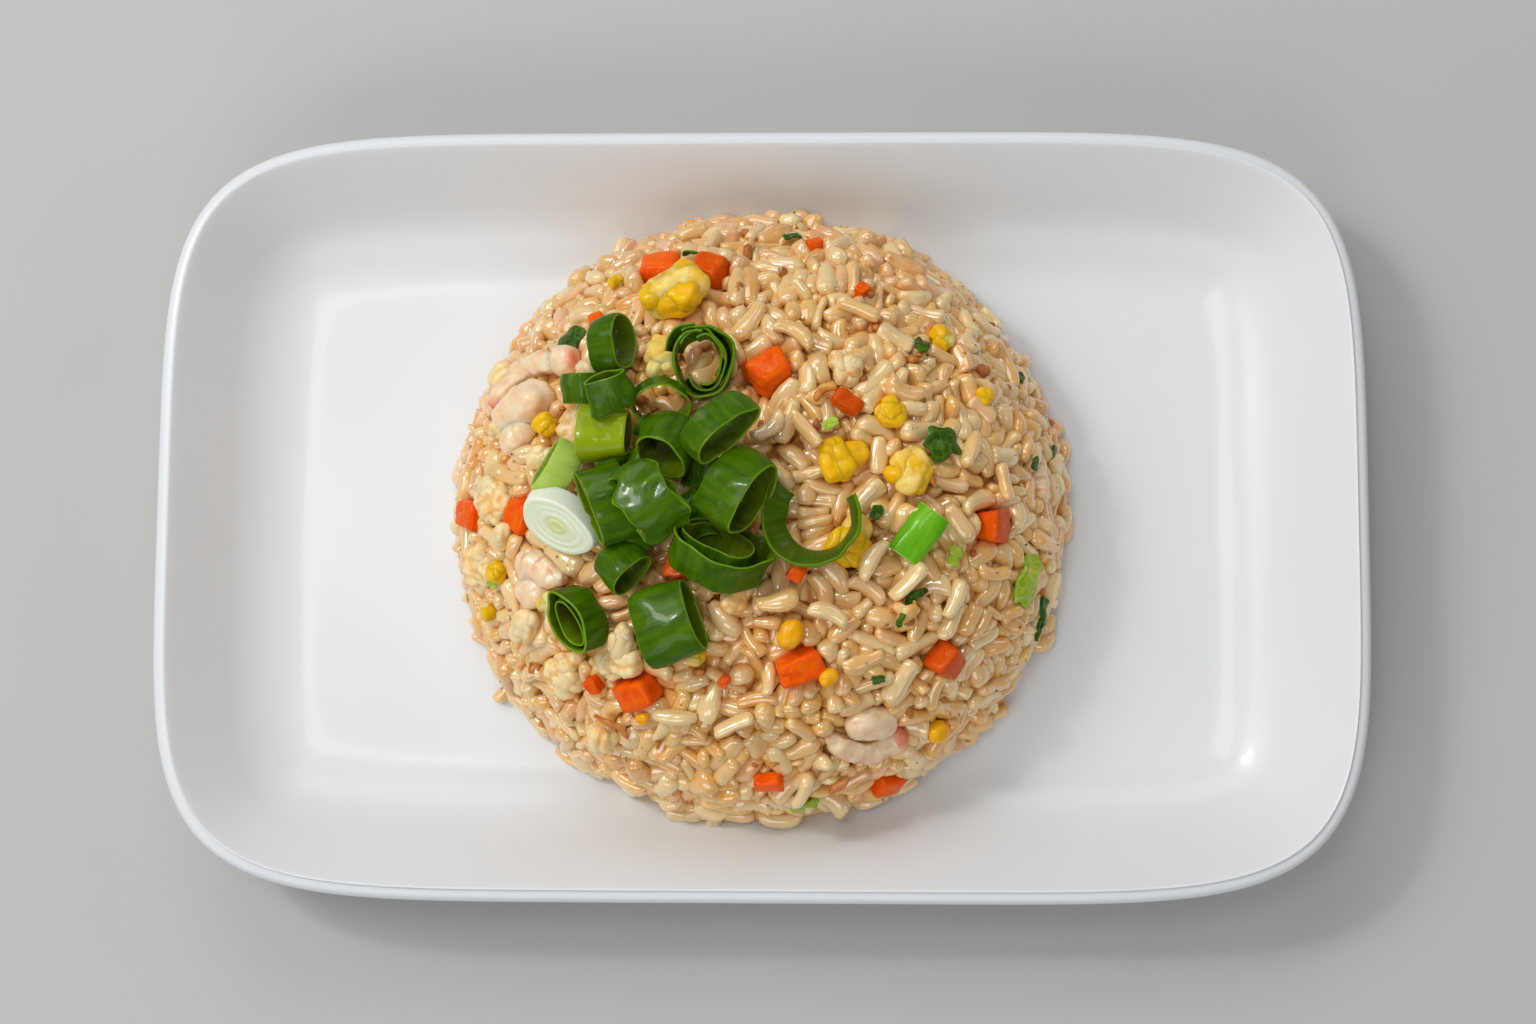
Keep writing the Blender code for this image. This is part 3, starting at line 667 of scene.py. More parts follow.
def put(name, shape, look, replaces=()):
    """Lay a topping, and remember its surface for the rice to settle round."""
    lay(name, shape, look, replaces)
    EVERY_TOPPING.append(shape[:3])


DARK = scallion_look("Scallion Dark Skin", (0.016, 0.060, 0.0), (0.088, 0.195, 0.0),
                     (0.14, 0.22, 0.001), (0.17, 0.34, 0.004))
DEEPEST = scallion_look("Scallion Deepest Skin", (0.012, 0.042, 0.0), (0.060, 0.14, 0.0),
                        (0.075, 0.15, 0.0), (0.12, 0.26, 0.0))
FRESH = scallion_look("Scallion Fresh Skin", (0.07, 0.32, 0.004), (0.20, 0.52, 0.012),
                      (0.20, 0.44, 0.02), (0.45, 0.65, 0.12), 0.24)
OLIVE = scallion_look("Scallion Olive Skin", (0.17, 0.27, 0.001), (0.36, 0.44, 0.003),
                      (0.22, 0.22, 0.004), (0.45, 0.50, 0.04))
PALE = scallion_look("Scallion Pale Skin", (0.34, 0.52, 0.05), (0.55, 0.70, 0.16),
                     (0.45, 0.60, 0.10), (0.30, 0.45, 0.04), 0.26)

# The azimuth and elevation that a scallion's axis faces, its look and its walls.
SCALLIONS = (
    (-84, 52, DARK, tube(5.9, 4.6, 4.4, seed=1, wave=0.08, slant=0.05)),
    (-90, 80, DEEPEST, strip(5.9, 7.2, 130, -400, 5.2, 0.6, (18, 4), 2, 0.06, 130, 0.1),
     strip(4.9, 6.2, 150, -290, 5.0, 0.5, (14, 0), 12, 0.08, 90, 0.1),
     strip(4.0, 5.2, 110, -210, 4.8, 0.5, (12, -6), 13, 0.12, 80, 0.12),
     strip(6.4, 6.8, 165, -62, 6.4, 0.5, (50, 30), 14, 0.0, 40, 0.1)),
    (92, 8, DARK, tube(3.5, 2.8, 6.2, seed=3, bulge=0.2, wave=0.05)),
    (-4, 14, OLIVE, tube(5.1, 3.6, 10.4, seed=4, dent=0.08, dent_at=100, lean=(-8, -8),
                         bulge=0.4, wave=0.03)),
    (-90, 84, DEEPEST, strip(8.3, 8.8, 138, 250, 6.0, 0.8, (62, 8), 5, 0.0, 130, 0.06)),
    (54, 6, FRESH, tube(3.2, 1.7, 11.4, seed=6, pinch=1.3, bulge=0.15, wave=0.015)),
    (-150, 52, DARK, tube(7.0, 4.2, 7.0, 0.6, 7, dent=0.1, dent_at=-60, pinch=1.15, wave=0.06),
     tube(5.2, 2.6, 6.2, 0.4, 17, count=70, dent=0.2, dent_at=-60, pinch=1.15, wave=0.07)),
    (20, 16, DARK, tube(7.6, 4.4, 12.0, 0.55, 8, pinch=1.1, bulge=0.5, wave=0.02)),
    (-44, 24, DARK, tube(5.2, 3.3, 7.6, seed=9, bulge=0.2, wave=0.04)),
    (-157, 14, DARK, tube(8.6, 3.6, 9.0, seed=10, dent=0.15, dent_at=200, pinch=1.1,
                          bulge=0.3, wave=0.04)),
    (2, 35, DARK, tube(5.2, 4.2, 6.4, seed=11, bulge=0.1, wave=0.05)),
    (110, 30, DARK, tube(4.4, 3.0, 7.4, seed=12, dent=0.3, dent_at=90, wave=0.07)),
    (66, 40, DARK, tube(10.8, 6.2, 8.2, seed=13, count=120, dent=0.2, dent_at=150, pinch=1.1,
                        wave=0.05, lean=(10, 10)),
     tube(7.6, 4.2, 8.0, 0.4, 23, (1.6, -0.6), 100, 0.15, 60, wave=0.05)),
    (-118, 32, DARK, tube(5.6, 5.2, 8.6, 0.55, 14, dent=0.15, dent_at=30, bulge=0.3, wave=0.04)),
    (-46, 34, DARK, tube(8.0, 3.6, 7.6, seed=15, dent=0.2, dent_at=60, bulge=0.2, wave=0.05)),
    (30, 8, DARK, tube(7.8, 3.5, 9.8, seed=16, pinch=1.4, bulge=0.2, wave=0.05, ragged=0.26)),
    (-34, 28, DARK, tube(7.9, 4.6, 10.2, 0.55, 18, pinch=1.05, bulge=0.4, wave=0.03)))
SPINS = {13: 8.0}
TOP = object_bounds()[1][2] / MM
TOP_GAP = 0.2

for number, (azimuth, elevation, look, *walls) in enumerate(SCALLIONS, 1):
    points, *faces_and_marks = joined(walls)
    points = points @ np.array(Matrix.Rotation(radians(SPINS.get(number, 0.0)), 3, "Z")).T
    node = "scallion_%02d" % number
    points, *_ = shape = seated((points, *faces_and_marks), frame_of(azimuth, elevation), node)
    points[:, 2] += min(0.0, TOP - TOP_GAP - points[:, 2].max())
    put("Scallion %02d" % number, shape, look, (node,))


# ---------------------------------------------------------------- stalk slices

def stalk_look(name, pale, middle, vein, edge):
    """A cut white stalk: pale flesh with thin greenish rings and a yellow-green middle."""
    look = Look(name, Roughness=0.3, Coat_Weight=0.2, Coat_Roughness=0.1, Subsurface_Weight=0.35,
                Subsurface_Scale=0.0025, Subsurface_Radius=(0.8, 1.0, 0.5))
    ringed = look.mark("ringed")
    fine = look.noise(look.stretched(look.mark("lie", "Vector"), (MM, MM, MM)), 0.5, 4.0, 0.6)
    slow = look.noise(look.place(), 3.5, 2.0)
    ring = look.wave(ringed * 34.0 + slow * 5.0)
    flesh = look.mix(look.between(ring + fine * 0.8, 0.3, 1.3) * 0.13, pale, vein)
    flesh = look.mix(look.between(ringed + slow * 0.2, 0.58, 0.25) * 0.85, flesh, middle)
    band = look.between(ringed, 0.955, 0.985)
    look.set(Base_Color=look.mix(band * 0.6, flesh, edge))
    look.bump(ring * 0.4 + fine * 0.6, 0.06, 0.4)
    return look


white_stalk = stalk_look("White Stalk Flesh", (0.78, 0.83, 0.62), (0.66, 0.68, 0.24),
                         (0.60, 0.74, 0.42), (0.86, 0.90, 0.78))
for number, turn, look, slot, shape in (
        ("01", frame_of(-122, 50), white_stalk, "white_stalk", slice_of(9.2, 5.9, 5.0)),
        ("02", frame_of(150, 20), PALE, "light_green",
         tube(5.8, 3.0, 6.4, 0.6, 31, dent=0.1, dent_at=90, pinch=1.2, bulge=0.4))):
    node = "stalk_slice_" + number
    put("Stalk Slice " + number, seated(shape, turn, node), look, (node,))


# ---------------------------------------------------------------- looks of the soft toppings

def carrot_look():
    """Wet cooked carrot: bright orange with fine fibres, some pieces redder, some browned."""
    look = Look("Carrot", Roughness=0.24, Coat_Weight=0.25, Coat_Roughness=0.05,
                Subsurface_Weight=0.25, Specular_IOR_Level=0.04, Subsurface_Scale=0.0018,
                Subsurface_Radius=(1.0, 0.35, 0.08))
    blot = look.noise(look.place(), 2.2, 3.0)
    fibre = look.noise(look.stretched(look.place(), (1.0, 1.0, 0.3)), 0.45, 4.0, 0.6)
    colour = look.mix(look.between(blot, 0.35, 0.7), (0.90, 0.085, 0.0), (0.93, 0.155, 0.0))
    colour = look.mix(look.mark("tone"), colour, (0.50, 0.060, 0.002))
    look.set(Base_Color=colour)
    look.bump(fibre + blot, 0.10, 0.6)
    return look


def egg_look():
    """Scrambled egg: rich yellow curds with cream white in the swellings' edges, and painted shade
    deepening the creases to orange.
    """
    look = Look("Egg", Roughness=0.34, Coat_Weight=0.25, Coat_Roughness=0.1,
                Subsurface_Weight=0.35, Subsurface_Scale=0.002, Specular_IOR_Level=0.12,
                Subsurface_Radius=(1.0, 0.7, 0.15))
    patch = look.noise(look.place(), 4.5, 3.0, 0.55)
    fine = look.noise(look.place(), 1.3, 3.0, 0.55)
    yellow = look.mix(look.between(fine, 0.3, 0.75), (0.93, 0.44, 0.0), (0.95, 0.57, 0.006))
    marked = look.mark("patch") * 0.5
    cream = look.between(patch * 0.5 + marked + look.mark("tone") * 0.4, 0.70, 0.88)
    colour = look.mix(cream, yellow, (0.95, 0.76, 0.26))
    # Painted shade: the creases between the swellings turn a deeper orange.
    crease = look.between(look.mark("relief"), -0.1, -0.9) * 0.35
    colour = look.mix(crease, colour, (0.88, 0.42, 0.006))
    look.set(Base_Color=colour)
    look.bump(fine, 0.22, 0.5)
    return look


def shrimp_look():
    """Cooked shrimp: pinkish cream flesh with orange-red tips and bands across the back."""
    look = Look("Shrimp", Roughness=0.28, Coat_Weight=0.35, Coat_Roughness=0.1,
                Subsurface_Weight=0.5, Subsurface_Scale=0.003, Subsurface_Radius=(1.0, 0.6, 0.4))
    along, back = look.mark("along"), look.mark("back")
    blot = look.noise(look.place(), 2.6, 3.0)
    fibre = look.noise(look.place(), 0.6, 3.0, 0.6)
    flesh = look.mix(look.between(blot, 0.35, 0.7), (0.86, 0.58, 0.34), (0.92, 0.74, 0.50))
    ring = look.wave(along * 26.0 + blot * 3.0)
    band = look.between(ring + blot * 1.2, 1.15, 1.55) * look.between(back, -0.2, 0.6)
    colour = look.mix(band * 0.5, flesh, (0.80, 0.22, 0.07))
    tip = look.between(along + blot * 0.22, 0.96, 1.10)
    colour = look.mix(tip * 0.9, colour, (0.82, 0.10, 0.02))
    look.set(Base_Color=colour)
    look.bump(fibre + ring * 0.15, 0.10, 0.6)
    return look


def fried_look(name, light, brown, dark):
    """A fried morsel: pale flesh browned in blots, with darker flecks, and painted shade in the
    brown colour in its creases.
    """
    look = Look(name, Roughness=0.4, Coat_Weight=0.15, Coat_Roughness=0.2, Subsurface_Weight=0.25,
                Subsurface_Scale=0.002, Subsurface_Radius=(1.0, 0.55, 0.25))
    blot = look.noise(look.place(), 3.0, 4.0, 0.6)
    fine = look.noise(look.place(), 1.2, 3.0, 0.6)
    amount = look.between(blot * 0.8 + fine * 0.35 + look.mark("tone") * 0.3, 0.56, 0.90)
    colour = look.mix(amount, light, brown)
    # Painted shade: the creases between the swellings take the brown colour.
    colour = look.mix(look.between(look.mark("relief"), 0.3, -0.6) * 0.75, colour, brown)
    colour = look.mix(look.between(fine, 0.66, 0.76) * 0.4, colour, dark)
    look.set(Base_Color=colour)
    look.bump(fine + blot * 0.6, 0.25, 0.6)
    return look


def leaf_look(name, dark, light, vein):
    """Wilted leaf: blotched green with a paler branching of veins."""
    look = Look(name, Roughness=0.36, Coat_Weight=0.2, Coat_Roughness=0.08, Subsurface_Weight=0.1,
                Subsurface_Scale=0.001, Specular_IOR_Level=0.15)
    blot = look.noise(look.place(), 2.2, 3.0)
    net = look.node("TexVoronoi", {"feature": "DISTANCE_TO_EDGE"},
                    {"Vector": look.place(), "Scale": 520.0, "Randomness": 0.9})
    colour = look.mix(look.between(blot, 0.35, 0.68), dark, light)
    colour = look.mix(look.between(net, 0.09, 0.0) * 0.55, colour, vein)
    look.set(Base_Color=colour)
    look.bump(net + blot * 0.4, 0.15, 0.6)
    return look


def kernel_look():
    """Sweetcorn kernel: glossy yellow, blotched between a deeper and a paler yellow."""
    look = Look("Corn", Roughness=0.22, Coat_Weight=0.4, Coat_Roughness=0.05,
                Subsurface_Weight=0.35, Subsurface_Scale=0.002, Specular_IOR_Level=0.12,
                Subsurface_Radius=(1.0, 0.6, 0.08))
    blot = look.noise(look.place(), 1.8, 3.0)
    blot = look.between(blot, 0.35, 0.7)
    look.set(Base_Color=look.mix(blot, (0.88, 0.38, 0.0), (0.92, 0.49, 0.004)))
    look.bump(blot, 0.1, 0.3)
    return look


carrot, egg, shrimp, corn = carrot_look(), egg_look(), shrimp_look(), kernel_look()
fried = fried_look("Browned Morsel", (0.98, 0.75, 0.38), (0.92, 0.44, 0.10), (0.68, 0.21, 0.02))
crust = fried_look("Fried Crumb", (0.70, 0.26, 0.035), (0.42, 0.12, 0.012), (0.12, 0.035, 0.008))
white_meat = fried_look("Pale Morsel", (0.93, 0.70, 0.36), (0.90, 0.56, 0.20), (0.78, 0.40, 0.10))
dark_leaf = leaf_look("Dark Leaf", (0.010, 0.045, 0.0), (0.050, 0.14, 0.0), (0.12, 0.24, 0.004))
pale_leaf = leaf_look("Pale Green Leaf", (0.26, 0.42, 0.005), (0.42, 0.55, 0.03),
                      (0.60, 0.70, 0.16))


def topping(node, shape, look, x, y, yaw, pitch=0.0, tone=0.0):
    """Put in the piece that stands for one solid, turned square to the heap at its place."""
    points, quads, triangles, marks = seated(shape, heap_frame(x, y, yaw, pitch, 0.0), node)
    marks = {**marks, "tone": np.full(len(points), tone)}
    put(node.replace("_", " ").title(), (points, quads, triangles, marks), look, (node,))


# ---------------------------------------------------------------- toppings that are solids

# x, y, length, width, height, yaw, pitch, browned.
CARROTS = (
    (-20.8, 51.4, 8.6, 6, 6, 8, 6, 0.0), (-10.2, 49.6, 7.4, 6.2, 6, -20, 10, 0.4),
    (2.2, 25.7, 8.2, 7.6, 6.4, 35, 8, 0.0), (-24.5, -40.7, 8.4, 6.4, 6, 15, -8, 0.1),
    (9.7, -35.4, 9.4, 6.2, 6, 22, 5, 0.0), (49.7, -5.2, 6.6, 6.4, 6, 5, 12, 0.5),
    (27.8, -58.3, 7, 5.6, 5.4, 30, 0, 0.1), (39.8, -33.2, 7.2, 6.2, 5.6, -25, 15, 0.6),
    (-62.6, -1.1, 7.2, 6, 5.6, -15, 6, 0.2), (-49.7, -3, 6.6, 6.4, 5.6, 60, -12, 0.1))
EGGS = (
    (-16.9, 42.6, 15.5, 11, 8, 62, 4, 0.5), (-19.6, 29.6, 11.5, 7, 6, 108, 0, 0.7),
    (18.6, 6.8, 12.5, 7, 6.4, 12, 6, 0.0), (32, 4.7, 12.5, 7.6, 6.6, 100, -6, 0.3),
    (19.3, -9.3, 12.5, 9, 6.6, 75, 0, 0.2), (28.1, 18, 7.4, 6, 5.6, 90, 0, 0.0),
    (39.1, 35, 6.8, 6, 5.6, 10, 10, 0.2))
SHRIMPS = (
    (-46.6, 23.8, 28, (prawn(23.0, 7.0, 130, 4, 1, tip=-1),
                       lobe((15.5, 9.5, 8.5), (-1.5, -9.5, 0.3), 8, 2),
                       lobe((8.0, 6.2, 6.0), (10.5, -4.0, -0.5), -30, 3, 0.72, 0.5),
                       lobe((9.0, 6.5, 6.5), (-5.0, -14.5, -0.6), 30, 4))),
    (23.6, -50, 184, (prawn(21.0, 7.0, 120, 4, 2, tip=-1),
                      lobe((12.0, 8.0, 6.5), (0.0, -7.0, -0.5), 0, 5, 0.5))),
    (-45.5, -16.6, -24, (prawn(13.5, 8.0, 25, 4, 3, tip=-1),
                         lobe((9.0, 7.0, 6.5), (-1.0, -5.5, -0.2), 20, 6))),
    (61, 6.9, 95, (prawn(10.5, 6.4, 30, 3, 4),)))
BROWNED = (
    (-56, 0.9, 11, 9, 6.4, 50), (-59.4, -12.6, 11, 8, 6, 70), (-40.2, -36.4, 13, 6.6, 6, 55),
    (-28.3, -33.4, 11, 7.4, 6, 15), (-37.4, 15.2, 9.6, 6.4, 6, 95), (19.4, 26.4, 8.2, 6.2, 5.6, 35))

for number, (x, y, length, width, height, yaw, pitch, tone) in enumerate(CARROTS, 1):
    topping("carrot_%02d" % number, die((length, width, height), number), carrot,
            x, y, yaw, pitch, tone)
for number, (x, y, length, width, height, yaw, pitch, tone) in enumerate(EGGS, 1):
    lumps = cluster((length, width, height), number + 20, 6 if number < 2 else 4)
    topping("egg_%02d" % number, lumps, egg, x, y, yaw, pitch, tone)
for number, (x, y, yaw, parts) in enumerate(SHRIMPS, 1):
    topping("shrimp_%02d" % number, joined(parts), shrimp, x, y, yaw)
for number, (x, y, length, width, height, yaw) in enumerate(BROWNED, 1):
    lumps = cluster((length * 1.1, width * 1.1, height), number + 40, 6, 0.1)
    topping("browned_piece_%02d" % number, lumps, fried, x, y, yaw, tone=0.1)
topping("pale_leaf", leaf_scrap(5.6, 3.6, 1.0, 5, 0.1), pale_leaf, 57.1, -15.5, 80)
topping("dark_leaf_01", leaf_scrap(3.8, 3.4, 0.8, 6, 0.16), dark_leaf, 38.6, 10.8, 20)
topping("dark_leaf_02", leaf_scrap(3.6, 3.0, 0.8, 7, 0.16), dark_leaf, -39.2, 34.4, 65)


# ---------------------------------------------------------------- smaller bits

def bits(name, look, shape_of, places, rise=0.0):
    """Small bits set into the heap's surface, joined into one piece.

    Each place is x, y, length, width, height, yaw and tone.
    """
    shapes = []
    for number, (x, y, length, width, height, yaw, tone) in enumerate(places, 1):
        points, quads, triangles, marks = shape_of((length, width, height), number)
        points = points @ heap_frame(x, y, yaw, 14.0 * sin(7.0 * number), 10.0 * cos(5.0 * number))
        points = points + above_heap(x, y, height * 0.2 + rise)
        shapes.append((points, quads, triangles, {**marks, "tone": np.full(len(points), tone)}))
    put(name, joined(shapes), look)


def small_die(size, seed):
    """A die among the small bits."""
    return die(size, seed + 30)


def small_curd(size, seed):
    """A knobbly lump among the small bits."""
    return cluster(size, seed + 60, 4, 0.08)


def smooth_curd(size, seed):
    """A smooth lump among the small bits."""
    return curd(size, seed + 90, 0.05, rows=16, sides=22, blob=5.0, octaves=2)


def small_leaf(size, seed):
    """A scrap of leaf among the small bits."""
    return leaf_scrap(size[0] / 2, size[1] / 2, size[2], seed + 9, 0.14, 10, 30)


bits("Corn Kernels", corn, smooth_curd, (
    (7.5, -28.7, 6.2, 4.8, 4.4, 70, 0), (15.2, -36.9, 4.4, 3.6, 3.6, 20, 0),
    (37.6, -46.7, 5.2, 4.2, 4, 40, 0), (-23, -45, 3, 2.4, 2.4, 10, 0)))
bits("Small Carrot Bits", carrot, small_die, (
    (-33.5, 38, 3.4, 2.8, 2.6, 30, 0.1), (-15.5, -15.3, 5, 4.2, 3.8, 80, 0.5),
    (19, 18.6, 6.4, 3.6, 3.2, -30, 0.6), (8.9, -16.3, 4, 3.2, 3, 60, 0.2),
    (2.6, -57.5, 6, 3.4, 3.2, 12, 0), (-33.2, -38.2, 3.6, 3, 2.8, 100, 0.2),
    (12, 55.5, 3.4, 2.6, 2.4, 10, 0.2), (22, 44, 3, 2.4, 2.4, 40, 0.1),
    (-6, -38, 2.6, 2, 2, 60, 0.3)))
bits("Small Egg Bits", egg, small_curd, (
    (-43.3, 15.5, 5, 4, 3.6, 20, 0), (-54.1, -14.3, 5.2, 3.8, 3.6, 60, 0.2),
    (-42.1, -21.4, 5.6, 4.2, 3.8, -20, 0.3), (47.5, 22, 4.8, 3.8, 3.6, 50, 0.2),
    (-11.5, -32.9, 4.4, 3.6, 3.4, 0, 0.3), (-30, 47, 4, 3, 3, 30, 0.5),
    (33, -5, 3.4, 2.8, 2.8, 10, 0.1), (-57, -22, 4.2, 3.4, 3.2, 80, 0.4)))
bits("Pale Morsels", white_meat, small_curd, (
    (-53.2, 27.5, 6.8, 5.2, 4.4, 30, 0), (-34.5, 26.4, 6.4, 4.4, 4, 80, 0),
    (-47.8, -25.7, 8.4, 5.6, 4.6, 10, 0), (-53.4, 15.8, 6, 4.6, 4.2, 100, 0.1),
    (-27.1, -29.7, 8.2, 5, 4, 70, 0.2)))
bits("Browned Bits", fried, small_curd, (
    (-31.7, -47.8, 7.4, 5, 4.4, 40, 0.2), (-40.4, -25.6, 6.6, 4.6, 4.2, 110, 0.4),
    (-3.4, -21.6, 8, 5.2, 4.4, 20, 0.8), (30.9, -23.4, 6.4, 4.4, 4, 60, 0.8),
    (-44, 8.5, 7, 5, 4.2, 0, 0.2), (-52.5, -7, 6, 4.4, 4, 30, 0.1)))
bits("Green Bits", dark_leaf, small_leaf, (
    (34.4, 32.2, 4.2, 3.2, 0.8, 60, 0), (60.5, -20.8, 6.4, 3.8, 0.8, 85, 0),
    (7.2, 57.1, 3.8, 2.2, 0.7, 10, 0), (55.9, 28.4, 3.2, 2.4, 0.7, 30, 0),
    (25, -3.9, 3, 2.4, 0.7, 70, 0), (62.6, 13.1, 3.6, 2, 0.7, 50, 0), (58.1, 9.2, 3, 2, 0.7, 90, 0),
    (25.2, -37.1, 2.8, 1.8, 0.7, 20, 0)), 0.6)
bits("Pale Green Bits", pale_leaf, small_leaf, (
    (-54.9, -15.5, 4.4, 3, 0.8, 60, 0), (10.1, -62.2, 6.8, 3.2, 0.8, 8, 0),
    (15.6, 14.1, 3.4, 2.2, 0.7, 30, 0), (41, -12, 4.6, 3, 0.8, 80, 0)), 0.6)


def sliver(size, seed):
    """A split ring of scallion lying on its cut, its back up."""
    points, quads, triangles, marks = strip(
        size[1] / 2, size[2], 8, 164, size[0], 0.45, (0.0, 0.0), seed, 0.1, 40, 0.06)
    points = points[:, [2, 0, 1]]
    return points - (points.min(0) + points.max(0)) / 2.0, quads, triangles, marks


bits("Scallion Slivers", DARK, sliver, (
    (-23.3, 5, 7.4, 7, 3.6, 70, 0), (-14.2, -3.4, 7.8, 6.6, 3.6, 20, 0),
    (-9.4, -6.4, 6.8, 6.4, 3.4, 100, 0), (-20.4, 13, 6.2, 5.6, 3.2, 140, 0),
    (-29, 7.5, 6.4, 5.4, 3, 30, 0), (-10.8, 4.8, 7.4, 6.2, 3.4, 80, 0),
    (-24.2, -10, 6.8, 6, 3.2, 130, 0)), 2.4)


def strand(size, seed):
    """A thin curved strip, tapering at both ends."""
    return prawn(size[0], size[1], 70 if seed % 2 else 50, 0, seed, rows=24, sides=12)


bits("Green Strands", dark_leaf, strand, (
    (30.9, -22, 11.5, 2.3, 2, 52, 0), (58.5, -24.5, 5, 1.6, 2, 80, 0),
    (-14, 52, 4, 1.2, 2, 10, 0)), 1.2)
bits("Browned Strands", crust, strand, (
    (-29, -45.5, 9.5, 1.6, 2, -55, 0.2), (17, -57.5, 5, 2.4, 2, 60, 0.1),
    (14, 20.5, 6, 1.8, 2, 30, 0), (0.5, -6, 5, 1.4, 2, 70, 0.3), (36, 3, 3.6, 1.6, 2, 100, 0.4),
    (-38, 4, 4, 1.4, 2, 20, 0.2)), 1.0)


# ---------------------------------------------------------------- rice

# Packing: how far beads look for neighbours, how often, and the most one moves in a round.
REACH = 4.2
LOOK_EVERY = 8
LONGEST_MOVE = 0.9


def near_pairs(points, reach):
    """Pairs of points that share a cell of a grid, or lie in cells beside each other."""
    cell = np.floor((points - points.min(0)) / reach).astype(np.int64) + 1
    wide = cell.max(0) + 3
    key = cell[:, 0] + wide[0] * (cell[:, 1] + wide[1] * cell[:, 2])
    order = np.argsort(key, kind="stable")
    ranked = key[order]
    firsts, seconds = [], []
    for dx in (-1, 0, 1):
        for dy in (-1, 0, 1):
            for dz in (-1, 0, 1):
                shift = dx + wide[0] * (dy + wide[1] * dz)
                if shift < 0:
                    continue
                start = np.searchsorted(ranked, ranked + shift, "left")
                stop = np.searchsorted(ranked, ranked + shift, "right")
                if shift == 0:
                    start = np.arange(len(ranked)) + 1
                count = np.maximum(stop - start, 0)
                first = np.repeat(np.arange(len(ranked)), count)
                second = np.repeat(start - np.cumsum(count) + count, count) + np.arange(count.sum())
                firsts.append(order[first])
                seconds.append(order[second])
    return np.concatenate(firsts), np.concatenate(seconds)


